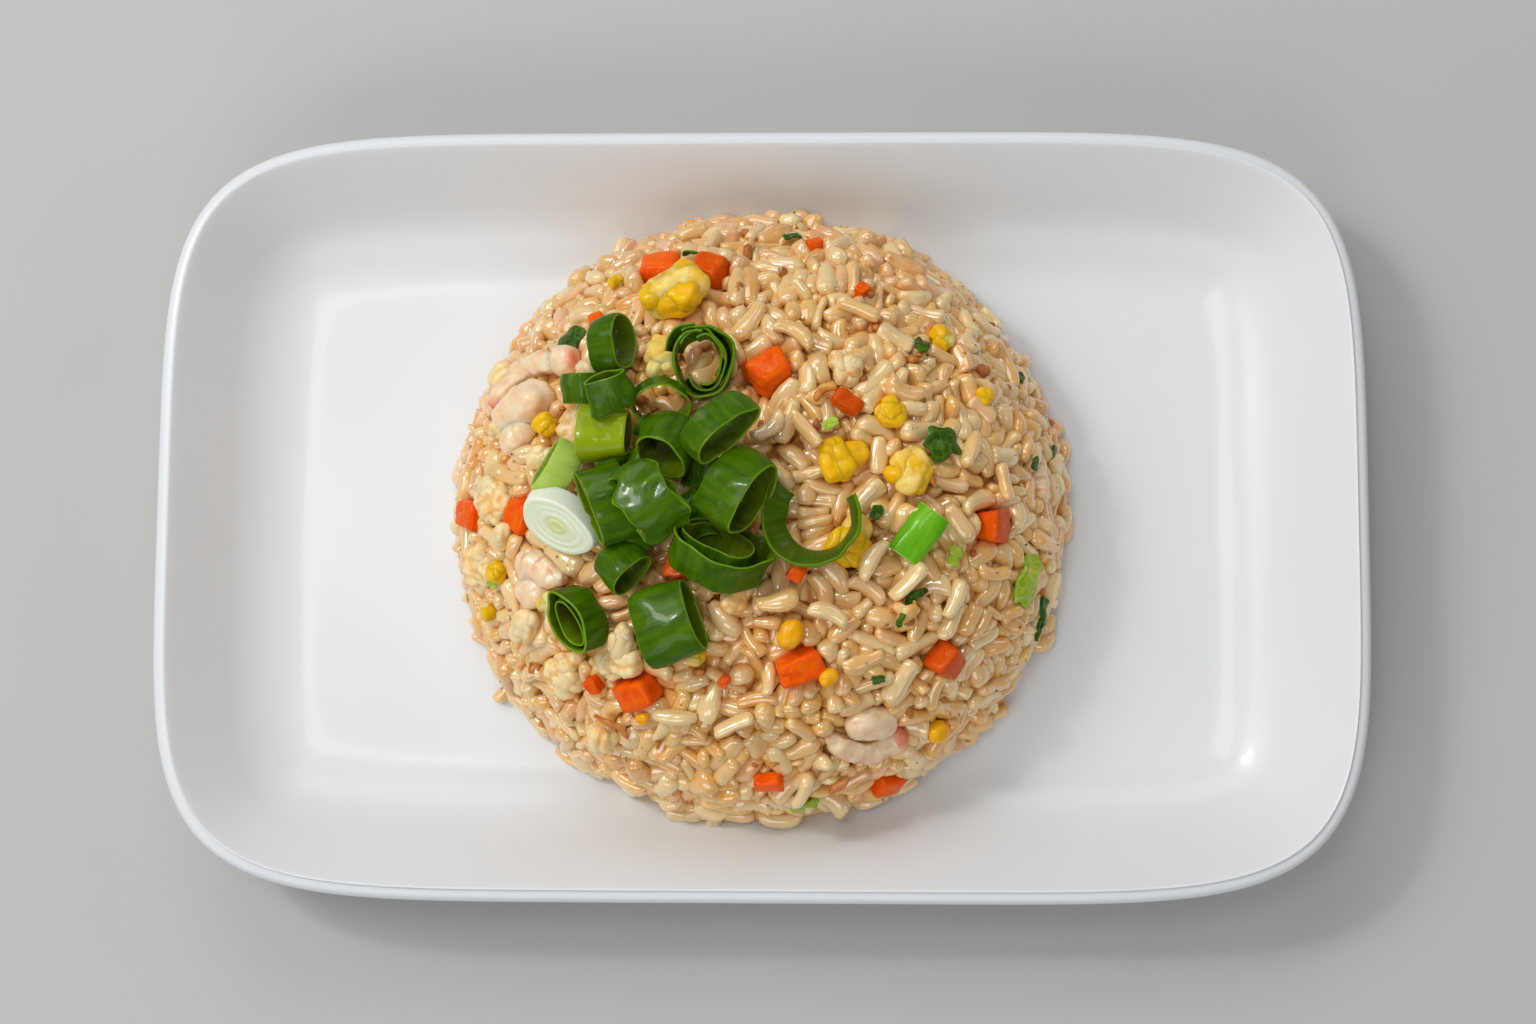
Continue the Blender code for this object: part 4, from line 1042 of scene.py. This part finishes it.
def settle(rounds, seed=5):
    """Pack grains into the heap's outer shell, round the toppings that lie in it.

    Each grain is four beads in a row. Every round draws the beads a little inward, parts
    the ones that overlap, keeps them in the shell and off the toppings, and makes each
    grain straight again. Returns centres, directions, half lengths and half widths.
    """
    chance = np.random.default_rng(seed)
    count = GRAINS
    share = chance.uniform(0.0, 1.0, count)
    angle = chance.uniform(0.0, 2.0 * pi, count)
    centre = heap_points(angle, share, chance.uniform(0.8, SHELL - 0.8, count))
    flat = np.hypot(*(centre[:, :2] - HEAP_CENTRE).T)
    centre = centre[(flat > 2.0) | (share < 0.99)]
    count = len(centre)
    half_length = np.clip(chance.normal(GRAIN_LENGTH, 1.4, count), 4.8, 11.0) / 2
    half_width = np.clip(chance.normal(GRAIN_HALF_WIDTH, 0.22, count), 1.5, 2.45)
    outward = heap_gap(centre)[1]
    way = chance.normal(size=(count, 3))
    steep = np.where(chance.uniform(size=count) < 0.12, 1.0, 0.28)[:, None]
    lean = (way * outward).sum(1)[:, None]
    way = way - outward * lean * (1.0 - steep)
    way /= np.linalg.norm(way, axis=1)[:, None]

    surfaces = [BVHTree.FromPolygons(points.tolist(), quads.tolist() + triangles.tolist())
                for points, quads, triangles in EVERY_TOPPING]
    boxes = [(points.min(0) - 1.0, points.max(0) + 1.0) for points, _, _ in EVERY_TOPPING]
    inside = np.zeros(count, bool)
    for tree, (low, high) in zip(surfaces, boxes):
        for number in np.flatnonzero(((centre > low) & (centre < high)).all(1)):
            place, normal, _, far = tree.find_nearest(Vector(centre[number]))
            if place is not None and far < 9.0 and (Vector(centre[number]) - place).dot(normal) < 0:
                inside[number] = True
    centre, way, half_length, half_width = (
        value[~inside] for value in (centre, way, half_length, half_width))
    count = len(centre)

    walls = np.concatenate([points for points, _, _ in EVERY_TOPPING])
    _, first = np.unique(np.floor(walls / 1.3).astype(int), axis=0, return_index=True)
    walls = walls[first]
    away = heap_gap(walls)[0]
    walls = walls[(away > -SHELL - 2.0) & (away < 4.0)]

    radius = np.repeat(half_width * BEAD_SHARE, 4)
    step = np.array([-1.5, -0.5, 0.5, 1.5])
    spacing = (half_length - half_width * 0.9) * 2.0 / 3.0
    proud = 1.4 * (chance.uniform(size=count) < 0.28)
    bias = np.repeat(chance.normal(-0.9, 0.35, count) + proud + 0.5 * ripple(centre, 16.0, 8, 2), 4)
    owner = np.concatenate([np.repeat(np.arange(count), 4), np.full(len(walls), -1)])
    size = np.concatenate([radius, np.full(len(walls), 0.4)])
    moving = 4 * count
    for turn in range(rounds):
        beads = centre[:, None] + way[:, None] * (spacing[:, None] * step)[..., None]
        beads = beads.reshape(-1, 3)
        if turn % LOOK_EVERY == 0:
            first, second = near_pairs(np.concatenate([beads, walls]), REACH)
            wanted = (owner[first] != owner[second]) & ((first < moving) | (second < moving))
            first, second = first[wanted], second[wanted]
        every = np.concatenate([beads, walls])
        apart = every[first] - every[second]
        far = np.linalg.norm(apart, axis=1) + 1e-9
        press = size[first] + size[second] - far
        touch = press > 0
        a, b = first[touch], second[touch]
        push = apart[touch] * (press[touch] / far[touch])[:, None]
        fixed_a, fixed_b = (a >= moving)[:, None], (b >= moving)[:, None]
        push_a = push * np.where(fixed_b, 0.8, 0.36)
        push_b = push * np.where(fixed_a, 0.8, 0.36)
        move = np.stack([
            np.bincount(a, push_a[:, k], len(every)) - np.bincount(b, push_b[:, k], len(every))
            for k in range(3)], 1)[:moving]
        far = np.linalg.norm(move, axis=1)[:, None]
        move *= np.minimum(1.0, LONGEST_MOVE / (far + 1e-9))
        beads = beads + move
        gap, outward = heap_gap(beads)
        beads -= outward * 0.04
        over = gap + radius * 0.9 - 0.35 - bias
        under = -SHELL + radius * 0.8 - gap
        beads -= outward * (np.clip(over, 0.0, 1.5) * 0.6)[:, None]
        beads += outward * (np.clip(under, 0.0, 1.5) * 0.6)[:, None]
        floor = plate_height(beads[:, 1]) + radius * 0.9 + 0.1
        beads[:, 2] = np.maximum(beads[:, 2], floor)
        beads = beads.reshape(-1, 4, 3)
        centre = beads.mean(1)
        way = (beads * step[None, :, None]).sum(1)
        way /= np.linalg.norm(way, axis=1)[:, None] + 1e-9

    # Grains that ended on top of a topping are taken away.
    beads = centre[:, None] + way[:, None] * (spacing[:, None] * step)[..., None]
    outward = heap_gap(centre)[1]
    covers = np.zeros(count, int)
    for tree, (low, high) in zip(surfaces, boxes):
        for number in np.flatnonzero(((centre > low - 5.0) & (centre < high + 5.0)).all(1)):
            for bead in beads[number]:
                hit = tree.ray_cast(Vector(bead), Vector(-outward[number]), 7.0)
                covers[number] += hit[0] is not None
    kept = covers < 2
    return centre[kept], way[kept], half_length[kept], half_width[kept]


def grain_mesh(centre, way, half_length, half_width, seed, rows=7, sides=10):
    """Rice grains as one surface: a rounded bar with blunt ends, a little flat, bent and tapered.

    The half width along a grain is its half width times its plumpness and sin(phi) to a
    power that sets how blunt its ends are. -cos(phi) is the place along its half length.
    Returns the surface with its marks, which colour the flesh, and its points per grain.
    """
    chance = np.random.default_rng(seed)
    count = len(centre)
    phi = np.linspace(0.0, pi, rows + 2)[1:-1]
    side = circle(sides)
    other = chance.normal(size=(count, 3))
    one = np.cross(way, other)
    one /= np.linalg.norm(one, axis=1)[:, None]
    two = np.cross(way, one)
    taper, bend, flat = (chance.normal(0.0, s, count) for s in (0.11, 0.46, 0.15))
    blunt = chance.uniform(0.25, 0.45, count)
    place = -np.cos(phi)
    size = np.sin(phi) ** blunt[:, None] * (1.0 + taper[:, None] * place)
    lobe = 1.0 + 0.10 * np.sin(2.0 * side + chance.uniform(0, 6.28, count)[:, None])
    lobe = lobe + 0.07 * np.sin(3.0 * side + chance.uniform(0, 6.28, count)[:, None])
    wobble = 1.0 + 0.11 * np.sin(3.6 * place + chance.uniform(0, 6.28, count)[:, None])
    radius = PLUMPNESS * half_width[:, None, None] * (size * wobble)[:, :, None]
    radius = radius * lobe[:, None, :]
    u = radius * np.cos(side) * (1.0 + flat)[:, None, None]
    v = radius * np.sin(side) * (1.0 - flat)[:, None, None]
    u = u + (bend[:, None] * (1.0 - 2.0 * place ** 2))[:, :, None]
    length = half_length[:, None] * place
    ring = (centre[:, None, None] + way[:, None, None] * length[:, :, None, None]
            + one[:, None, None] * u[..., None] + two[:, None, None] * v[..., None])
    both = np.array([-1.0, 1.0])
    ends = (centre[:, None] + way[:, None] * half_length[:, None, None] * both[None, :, None]
            - one[:, None] * bend[:, None, None])
    points = np.concatenate([ring.reshape(count, -1, 3), ends], 1)
    stride = rows * sides + 2
    base = (np.arange(count) * stride)[:, None, None]
    quads = (sleeve(rows, sides)[None] + base).reshape(-1, 4)
    triangles = (caps(rows, sides)[None] + base).reshape(-1, 3)
    a, b, c = ((points[0] - centre[0])[sleeve(rows, sides)[:, k]] for k in (0, 1, 2))
    if (a * np.cross(b, c)).sum() < 0:
        quads, triangles = quads[:, ::-1], triangles[:, ::-1]
    lie = np.stack([radius * np.cos(side), radius * np.sin(side),
                    np.broadcast_to(length[:, :, None] * 0.12, radius.shape)], -1)
    middle = np.zeros((count, 2))
    tips = np.stack([middle, middle, half_length[:, None] * 0.12 * both], -1)
    lie = np.concatenate([lie.reshape(count, -1, 3), tips], 1)
    lie = lie + chance.uniform(0.0, 60.0, (count, 1, 3))
    return (points.reshape(-1, 3), quads, triangles, {"lie": lie.reshape(-1, 3)}), stride


def rice_look():
    """Cooked rice: clear cream flesh in its own tone, streaked along the grain, wet on top."""
    look = Look("Rice Grain", Coat_Weight=0.9, Coat_Roughness=0.03, Coat_IOR=1.85,
                Subsurface_Weight=0.35, Subsurface_Scale=0.0010,
                Subsurface_Radius=(1.0, 0.60, 0.30))
    tone = look.mark("tone", "Color")
    fine = look.noise(look.place(), 0.7, 3.0, 0.6)
    soft = look.noise(look.place(), 2.4, 2.0)
    lie = look.stretched(look.mark("lie", "Vector"), (MM, MM, MM))
    wavy = look.noise(lie, 1.9, 1.0, 0.4)
    streak = look.noise(lie, 0.8, 2.0, 0.5)
    milky = look.between(soft * 0.5 + streak * 0.5, 0.36, 0.66) * 0.42
    colour = look.mix(milky, tone, (0.91, 0.69, 0.35))
    look.set(Base_Color=colour, Roughness=0.14 + 0.12 * fine)
    look.bump(wavy + streak * 0.15, 0.26, 0.8)
    return look


rice = rice_look()
centre, way, half_length, half_width = settle(240)
chance = np.random.default_rng(31)
count = len(centre)
# The last of these tones is the deep orange of sauce and painted shade, for grains down in the
# heap.
cream, white, pink, honey, tan, sauce_and_shade_amber = np.array((
    (0.85, 0.51, 0.165), (0.88, 0.62, 0.285), (0.87, 0.47, 0.20), (0.85, 0.44, 0.085),
    (0.78, 0.34, 0.05), (0.80, 0.37, 0.045)))
# Pinkish grains lie mostly to the left and the back.
left = np.clip(0.5 - centre[:, 0] / 110.0 + centre[:, 1] / 160.0, 0.0, 1.0)[:, None]
pick = chance.uniform(size=count)[:, None]
tone = np.where(pick < 0.24, cream, np.where(pick < 0.58, white, np.where(
    pick < 0.60 + 0.28 * left, pink, np.where(pick < 0.92, honey, tan))))
tone = tone * (1.0 + 0.06 * chance.normal(size=(count, 1)))
tone = np.clip(tone, 0.02, 0.90)
# Painted light: beside the scallions the rice is lightened toward the white tone, against the shade
# that the scallions cast.
pale = (centre[:, 0] - 8.0) ** 2 + (centre[:, 1] + 3.0) ** 2
pale = np.exp(-pale / (2.0 * 22.0 ** 2))[:, None]
tone = tone + (white - tone) * 0.7 * pale
kinds = np.digitize(half_length, np.quantile(half_length, (0.36, 0.68)))
for kind, name in enumerate(("Short Rice Grains", "Rice Grains", "Long Rice Grains")):
    some = kinds == kind
    shape, stride = grain_mesh(
        centre[some], way[some], half_length[some], half_width[some], 40 + kind)
    # Painted shade with sauce colour: the grains turn a deeper orange as they go down into the
    # heap, where sauce gathers and shade deepens between them.
    deep = np.clip((-heap_gap(shape[0])[0] + 0.2) / 2.8, 0.0, 1.0)[:, None] * 0.92
    # The painted light beside the scallions also thins the painted shade there.
    deep = deep * (1.0 - 0.72 * np.repeat(pale[some], stride, 0))
    colour = np.repeat(tone[some], stride, 0)
    shape[3]["tone"] = colour + (sauce_and_shade_amber - colour) * deep
    lay(name, shape, rice)


# ---------------------------------------------------------------- loose grains, crumbs and specks

# x, y, lift, yaw, pitch, length, half width.
LOOSE = np.array((
    (9.6, -58.5, 1.6, 84, 4, 9.6, 1.75), (44, 10, 1.2, 60, 8, 9, 1.7),
    (24, -13.5, 1.5, 58, 6, 9.8, 1.8), (31, -17.5, 1.4, 52, -6, 10, 1.7),
    (34, -6.5, 1.3, 115, 0, 8.6, 1.8), (8, 33, 1.2, -30, 5, 9.2, 1.7),
    (21, 39, 1.3, -22, 4, 9.8, 1.7), (5, -22, 1.3, 10, 6, 9, 1.75),
    (15, -24.5, 1.4, -20, 0, 8.8, 1.7), (-16, -44.5, 1.2, -8, 4, 9.4, 1.7),
    (-4, -46, 1.3, 24, 5, 9, 1.75), (40.5, -20.5, 1.4, 70, 6, 8.6, 1.7),
    (51, 4, 1.2, 100, 5, 8.2, 1.7), (10.5, 13, 1.2, -50, 8, 9.2, 1.7),
    (3, 13.5, 1, 40, 6, 8.4, 1.7)))
middles, ways = [], []
for x, y, lift, yaw, pitch, _, _ in LOOSE:
    ways.append(heap_frame(x, y, yaw, pitch, 0)[0])
    middles.append(above_heap(x, y, lift))
# A few have rolled out on to the plate by the heap's foot.
chance = np.random.default_rng(77)
angle = np.radians((-104.0, -101.0, -98.0, -62.0, -40.0, -24.0, 12.0, 61.0, 118.0, 171.0, 214.0,
                    232.0))
away = HEAP_RADIUS + chance.uniform(-0.4, 0.8, len(angle))
x, y = away * np.cos(angle), HEAP_CENTRE[1] + away * np.sin(angle)
out_way = np.stack([np.sin(angle), -np.cos(angle), chance.normal(0.0, 0.06, len(angle))], 1)
out_way += 0.6 * chance.normal(size=(len(angle), 3)) * np.array([1.0, 1.0, 0.1])
loose_centre = np.concatenate([np.array(middles), np.stack([x, y, plate_height(y) + 1.7], 1)])
loose_way = np.concatenate([np.array(ways), out_way / np.linalg.norm(out_way, axis=1)[:, None]])
loose_half = np.concatenate([LOOSE[:, 5], chance.uniform(6.4, 8.4, len(angle))]) / 2.0
loose_wide = np.concatenate([LOOSE[:, 6], np.full(len(angle), 1.6)])
shape, stride = grain_mesh(loose_centre, loose_way, loose_half, loose_wide, 91)
pick = chance.uniform(size=(len(loose_half), 1)) < 0.5
shape[3]["tone"] = np.repeat(np.where(pick, cream, white), stride, 0)
lay("Loose Rice Grains", shape, rice)


def scatter(name, look, places, sizes, seed, rows=3, sides=6, rough=0.25):
    """Small uneven balls at many places, joined into one piece."""
    chance = np.random.default_rng(seed)
    way = ball(rows, sides)
    stretch = chance.uniform(0.6, 1.4, (len(places), 1, 3))
    bumpy = 1.0 + rough * chance.normal(size=(len(places), len(way), 1)) * 0.6
    points = places[:, None] + way[None] * stretch * bumpy * sizes[:, None, None]
    base = (np.arange(len(places)) * len(way))[:, None, None]
    _, quads, triangles, _ = capped(way, rows, sides)
    marks = {"tone": np.repeat(chance.uniform(0.0, 1.0, len(places)), len(way))}
    lay(name, (points.reshape(-1, 3), (quads[None] + base).reshape(-1, 4),
               (triangles[None] + base).reshape(-1, 3), marks), look)


chance = np.random.default_rng(78)
skin = heap_points(chance.uniform(0, 2 * pi, 900), chance.uniform(0.0, 1.0, 900),
                   np.full(900, -0.1))
crumb_places = skin[:170] - heap_gap(skin[:170])[1] * chance.uniform(0.2, 2.0, (170, 1))
scatter("Fried Crumbs", crust, crumb_places,
        np.clip(chance.normal(0.75, 0.3, 170), 0.35, 1.5), 79, 5, 8)
# Specks lie on the outer faces of grains.
some = np.flatnonzero(heap_gap(centre)[0] > -2.2)
some = chance.choice(some, 330)
upright = heap_gap(centre[some])[1]
along = half_length[some] * chance.uniform(-0.7, 0.7, len(some))
speck_places = centre[some] + way[some] * along[:, None]
speck_places = speck_places + upright * (half_width[some] * 0.93)[:, None]
scatter("Brown Specks", crust, speck_places[:250], chance.uniform(0.12, 0.30, 250), 80)
pepper = Look("Pepper", Base_Color=(0.03, 0.012, 0.004), Roughness=0.6)
pepper.bump(pepper.noise(pepper.place(), 0.3), 0.1)
scatter("Dark Specks", pepper, speck_places[250:], chance.uniform(0.10, 0.26, 80), 81)


# ---------------------------------------------------------------- core of the heap

def core_look():
    """Rice deep in the heap: orange-brown for sauce and painted shade, with the relief of packed
    grains and painted shade darkening the gaps between them.
    """
    look = Look("Heap Core", Roughness=0.5, Subsurface_Weight=0.2, Subsurface_Scale=0.002,
                Subsurface_Radius=(1.0, 0.5, 0.2))
    lumps = look.node("TexVoronoi", {"feature": "SMOOTH_F1"}, {
        "Vector": look.stretched(look.place(), (1.0, 1.0, 1.6)), "Scale": 260.0,
        "Smoothness": 0.4})
    fine = look.noise(look.place(), 1.2, 3.0)
    # Painted shade: the gaps between the lumps turn a darker brown.
    deep = look.between(lumps + fine * 0.3, 0.3, 0.9)
    look.set(Base_Color=look.mix(deep, (0.66, 0.30, 0.05), (0.45, 0.16, 0.015)))
    look.bump(1.0 - lumps, 1.2, 1.0)
    return look


rows, sides = 60, 170
share = np.sin(np.linspace(0.0, pi / 2, rows + 1)[:-1])[:, None]
angle = circle(sides)[None, :]
share, angle = np.broadcast_arrays(share, angle)
core = heap_points(angle, share, np.full(share.shape, SHELL - 0.9))
core = core + heap_gap(core)[1] * (0.5 * ripple(core, 5.0, 3, 3, True))[..., None]
core[..., 2] = np.maximum(core[..., 2], plate_height(core[..., 1]) + 0.1)
top = float(heap_height(*HEAP_CENTRE)) - SHELL + 0.6
ends = np.array([[*HEAP_CENTRE, top], [*HEAP_CENTRE, FLOOR_TOP + 0.1]])
points = np.concatenate([core.reshape(-1, 3)[::-1], ends])
lay("Heap Core", capped(points, rows, sides), core_look(), ("rice",))


# ---------------------------------------------------------------- plate

def plate_outline(count):
    """Even points round the rim and their inward directions.

    The rim is |x / a| ** p + |y / b| ** q = 1.
    """
    t = circle(12000)
    x = PLATE_HALF_LENGTH * np.sign(np.cos(t)) * np.abs(np.cos(t)) ** (2.0 / CORNER_POWER_X)
    y = PLATE_HALF_WIDTH * np.sign(np.sin(t)) * np.abs(np.sin(t)) ** (2.0 / CORNER_POWER_Y)
    rim = np.stack([x, y], 1)
    rim = rim[np.unique(np.round(rim, 6), axis=0, return_index=True)[1]]
    rim = rim[np.argsort(np.arctan2(rim[:, 1], rim[:, 0]))]
    loop = np.concatenate([rim, rim[:1]])
    run = np.concatenate([[0.0], np.cumsum(np.linalg.norm(np.diff(loop, axis=0), axis=1))])
    even = np.linspace(0.0, run[-1], count, endpoint=False)
    rim = np.stack([np.interp(even, run, loop[:, 0]), np.interp(even, run, loop[:, 1])], 1)
    along = np.roll(rim, -1, 0) - np.roll(rim, 1, 0)
    along /= np.linalg.norm(along, axis=1)[:, None]
    return rim, np.stack([-along[:, 1], along[:, 0]], 1)


def plate_section():
    """Inset and height, from the foot out under the wall, over the rim and in to the floor."""
    centre = FLOOR_TOP + FLOOR_FILLET
    rise = np.linspace(0.0, WALL_SLOPE, 19)[1:]
    foot = [(44.5, 1.5), (43.4, 1.4), (42.8, 0.5), (42.2, 0.08), (40.8, 0.0), (39.4, 0.08),
            (38.8, 0.5), (38.2, 1.4), (37.4, 1.7)]
    outer = FLOOR_FILLET + WALL
    under = np.stack([FILLET_INSET - outer * np.sin(rise), centre - outer * np.cos(rise)], 1)
    inner = np.stack([FILLET_INSET - FLOOR_FILLET * np.sin(rise),
                      centre - FLOOR_FILLET * np.cos(rise)], 1)
    r = RIM_HEIGHT
    knots = np.array([under[-1], (1.3, r - 4.7), (0.15, r - 2.9), (0.0, r - 1.7),
                      (0.75, r - 0.5), (2.3, r), (3.8, r - 0.4), inner[-1]])
    # The rim's bend is a smooth curve through its corner points.
    before = np.concatenate([[under[-2]], knots[:-1]])
    after = np.concatenate([knots[1:], [inner[-2]]])
    slope = (after - before) / 2.0
    part = np.linspace(0.0, 1.0, 7)[:-1, None]
    h = (2 * part ** 3 - 3 * part ** 2 + 1, part ** 3 - 2 * part ** 2 + part,
         -2 * part ** 3 + 3 * part ** 2, part ** 3 - part ** 2)
    bend = np.concatenate([
        h[0] * knots[k] + h[1] * slope[k] + h[2] * knots[k + 1] + h[3] * slope[k + 1]
        for k in range(len(knots) - 1)])
    bend[:, 0] = np.maximum(bend[:, 0], 0.0)
    floor = [(FILLET_INSET, FLOOR_TOP), (36.0, FLOOR_TOP), (46.0, FLOOR_TOP), (60.0, FLOOR_TOP)]
    return np.concatenate([foot, under, bend[1:], inner[::-1], floor])


def porcelain_look():
    """White glazed porcelain, faintly uneven."""
    look = Look("Porcelain", Coat_Weight=0.15, Coat_Roughness=0.08, Specular_IOR_Level=0.22)
    wide = look.noise(look.place(), 26.0, 2.0)
    fine = look.noise(look.place(), 5.0, 2.0)
    look.set(Base_Color=look.mix(wide, (0.745, 0.765, 0.785), (0.77, 0.785, 0.805)),
             Roughness=0.26 + 0.06 * fine)
    look.bump(wide, 0.12, 0.3)
    return look


rim, inward = plate_outline(240)
section = plate_section()
PARALLEL = 24.0
rings = []
for inset, height in section:
    # Farther in than this, the rings shrink to the middle instead of keeping their distance.
    parallel = min(inset, PARALLEL)
    flat = rim + inward * parallel
    if inset > parallel:
        flat = flat * np.array([(PLATE_HALF_LENGTH - inset) / (PLATE_HALF_LENGTH - parallel),
                                (PLATE_HALF_WIDTH - inset) / (PLATE_HALF_WIDTH - parallel)])
    rings.append(np.column_stack([flat, np.full(len(flat), height)]))
ends = np.array([[0.0, 0.0, section[0][1]], [0.0, 0.0, FLOOR_TOP]])
lay("Porcelain Plate", capped(np.concatenate([*rings, ends]), len(rings), len(rim)),
    porcelain_look(), ("plate",))


# ---------------------------------------------------------------- floor, light and camera

def floor_look():
    """A plain pale floor."""
    look = Look("Pale Floor", Roughness=0.9)
    blots = look.noise(look.place(), 60.0, 2.0)
    look.set(Base_Color=look.mix(blots, (0.50, 0.50, 0.49), (0.53, 0.53, 0.52)))
    return look


mesh = bpy.data.meshes.new("Pale Floor")
mesh.from_pydata([(-4, -4, 0), (4, -4, 0), (4, 4, 0), (-4, 4, 0)], [], [(0, 1, 2, 3)])
mesh.materials.append(floor_look().material)
floor = bpy.data.objects.new("Pale Floor", mesh)
bpy.context.scene.collection.objects.link(floor)


MIDDLE = Vector((0.0, 0.0, 0.02))
WARM, PLAIN, COOL = (1.0, 0.985, 0.96), (1.0, 1.0, 1.0), (0.95, 0.98, 1.0)

# Area lights turned to the plate: name, place, length, width, power, colour.
for name, place, length, width, power, colour in (
        ("Window Light", (-0.82, 0.42, 0.95), 0.62, 0.62, 3.1, WARM),
        ("Window Middle", (-0.74, 0.38, 0.93), 0.2, 0.2, 1.9, WARM),
        ("Window Glint", (-0.66, 0.40, 1.02), 0.08, 0.08, 1.5, PLAIN),
        ("Overhead Window", (-0.16, 0.16, 1.30), 0.30, 0.30, 1.8, PLAIN),
        ("Upper Panel", (-0.16, 0.80, 0.84), 0.7, 0.5, 2.7, COOL),
        ("Lower Panel", (-0.16, -0.80, 0.84), 0.7, 0.5, 2.4, COOL),
        ("Lower Left Panel", (-0.72, -0.72, 0.62), 0.34, 0.34, 1.0, PLAIN),
        ("Upper Right Panel", (0.78, 0.66, 0.62), 0.3, 0.3, 0.4, PLAIN),
        ("Lower Right Panel", (0.78, -0.70, 0.62), 0.3, 0.3, 0.4, PLAIN)):
    lamp = bpy.data.lights.new(name, "AREA")
    lamp.shape = "RECTANGLE"
    lamp.size, lamp.size_y, lamp.energy, lamp.color = length, width, power, colour
    thing = bpy.data.objects.new(name, lamp)
    thing.location = place
    thing.rotation_euler = (MIDDLE - Vector(place)).to_track_quat("-Z", "Y").to_euler()
    bpy.context.scene.collection.objects.link(thing)

world = bpy.data.worlds.new("Studio")
world.use_nodes = True
background = world.node_tree.nodes["Background"]
background.inputs["Color"].default_value = (0.985, 0.99, 1.0, 1.0)
background.inputs["Strength"].default_value = 0.27
bpy.context.scene.world = world

camera_data = bpy.data.cameras.new("Camera")
camera_data.lens = 65.76
camera_data.sensor_width = 36.0
camera_data.shift_x = 0.0064
camera_data.shift_y = -0.0012
camera = bpy.data.objects.new("Camera", camera_data)
back = Vector((0.03435, -0.12720, 0.99128)).normalized()
up = Vector((-0.00098, 0.99186, 0.12731)).normalized()
right = up.cross(back).normalized()
up = back.cross(right)
camera.matrix_world = Matrix.Translation((0.0206, -0.0763, 0.6213)) @ Matrix(
    (right, up, back)).transposed().to_4x4()
bpy.context.scene.collection.objects.link(camera)
bpy.context.scene.camera = camera
bpy.context.scene.view_settings.view_transform = "Standard"

bpy.context.view_layer.update()
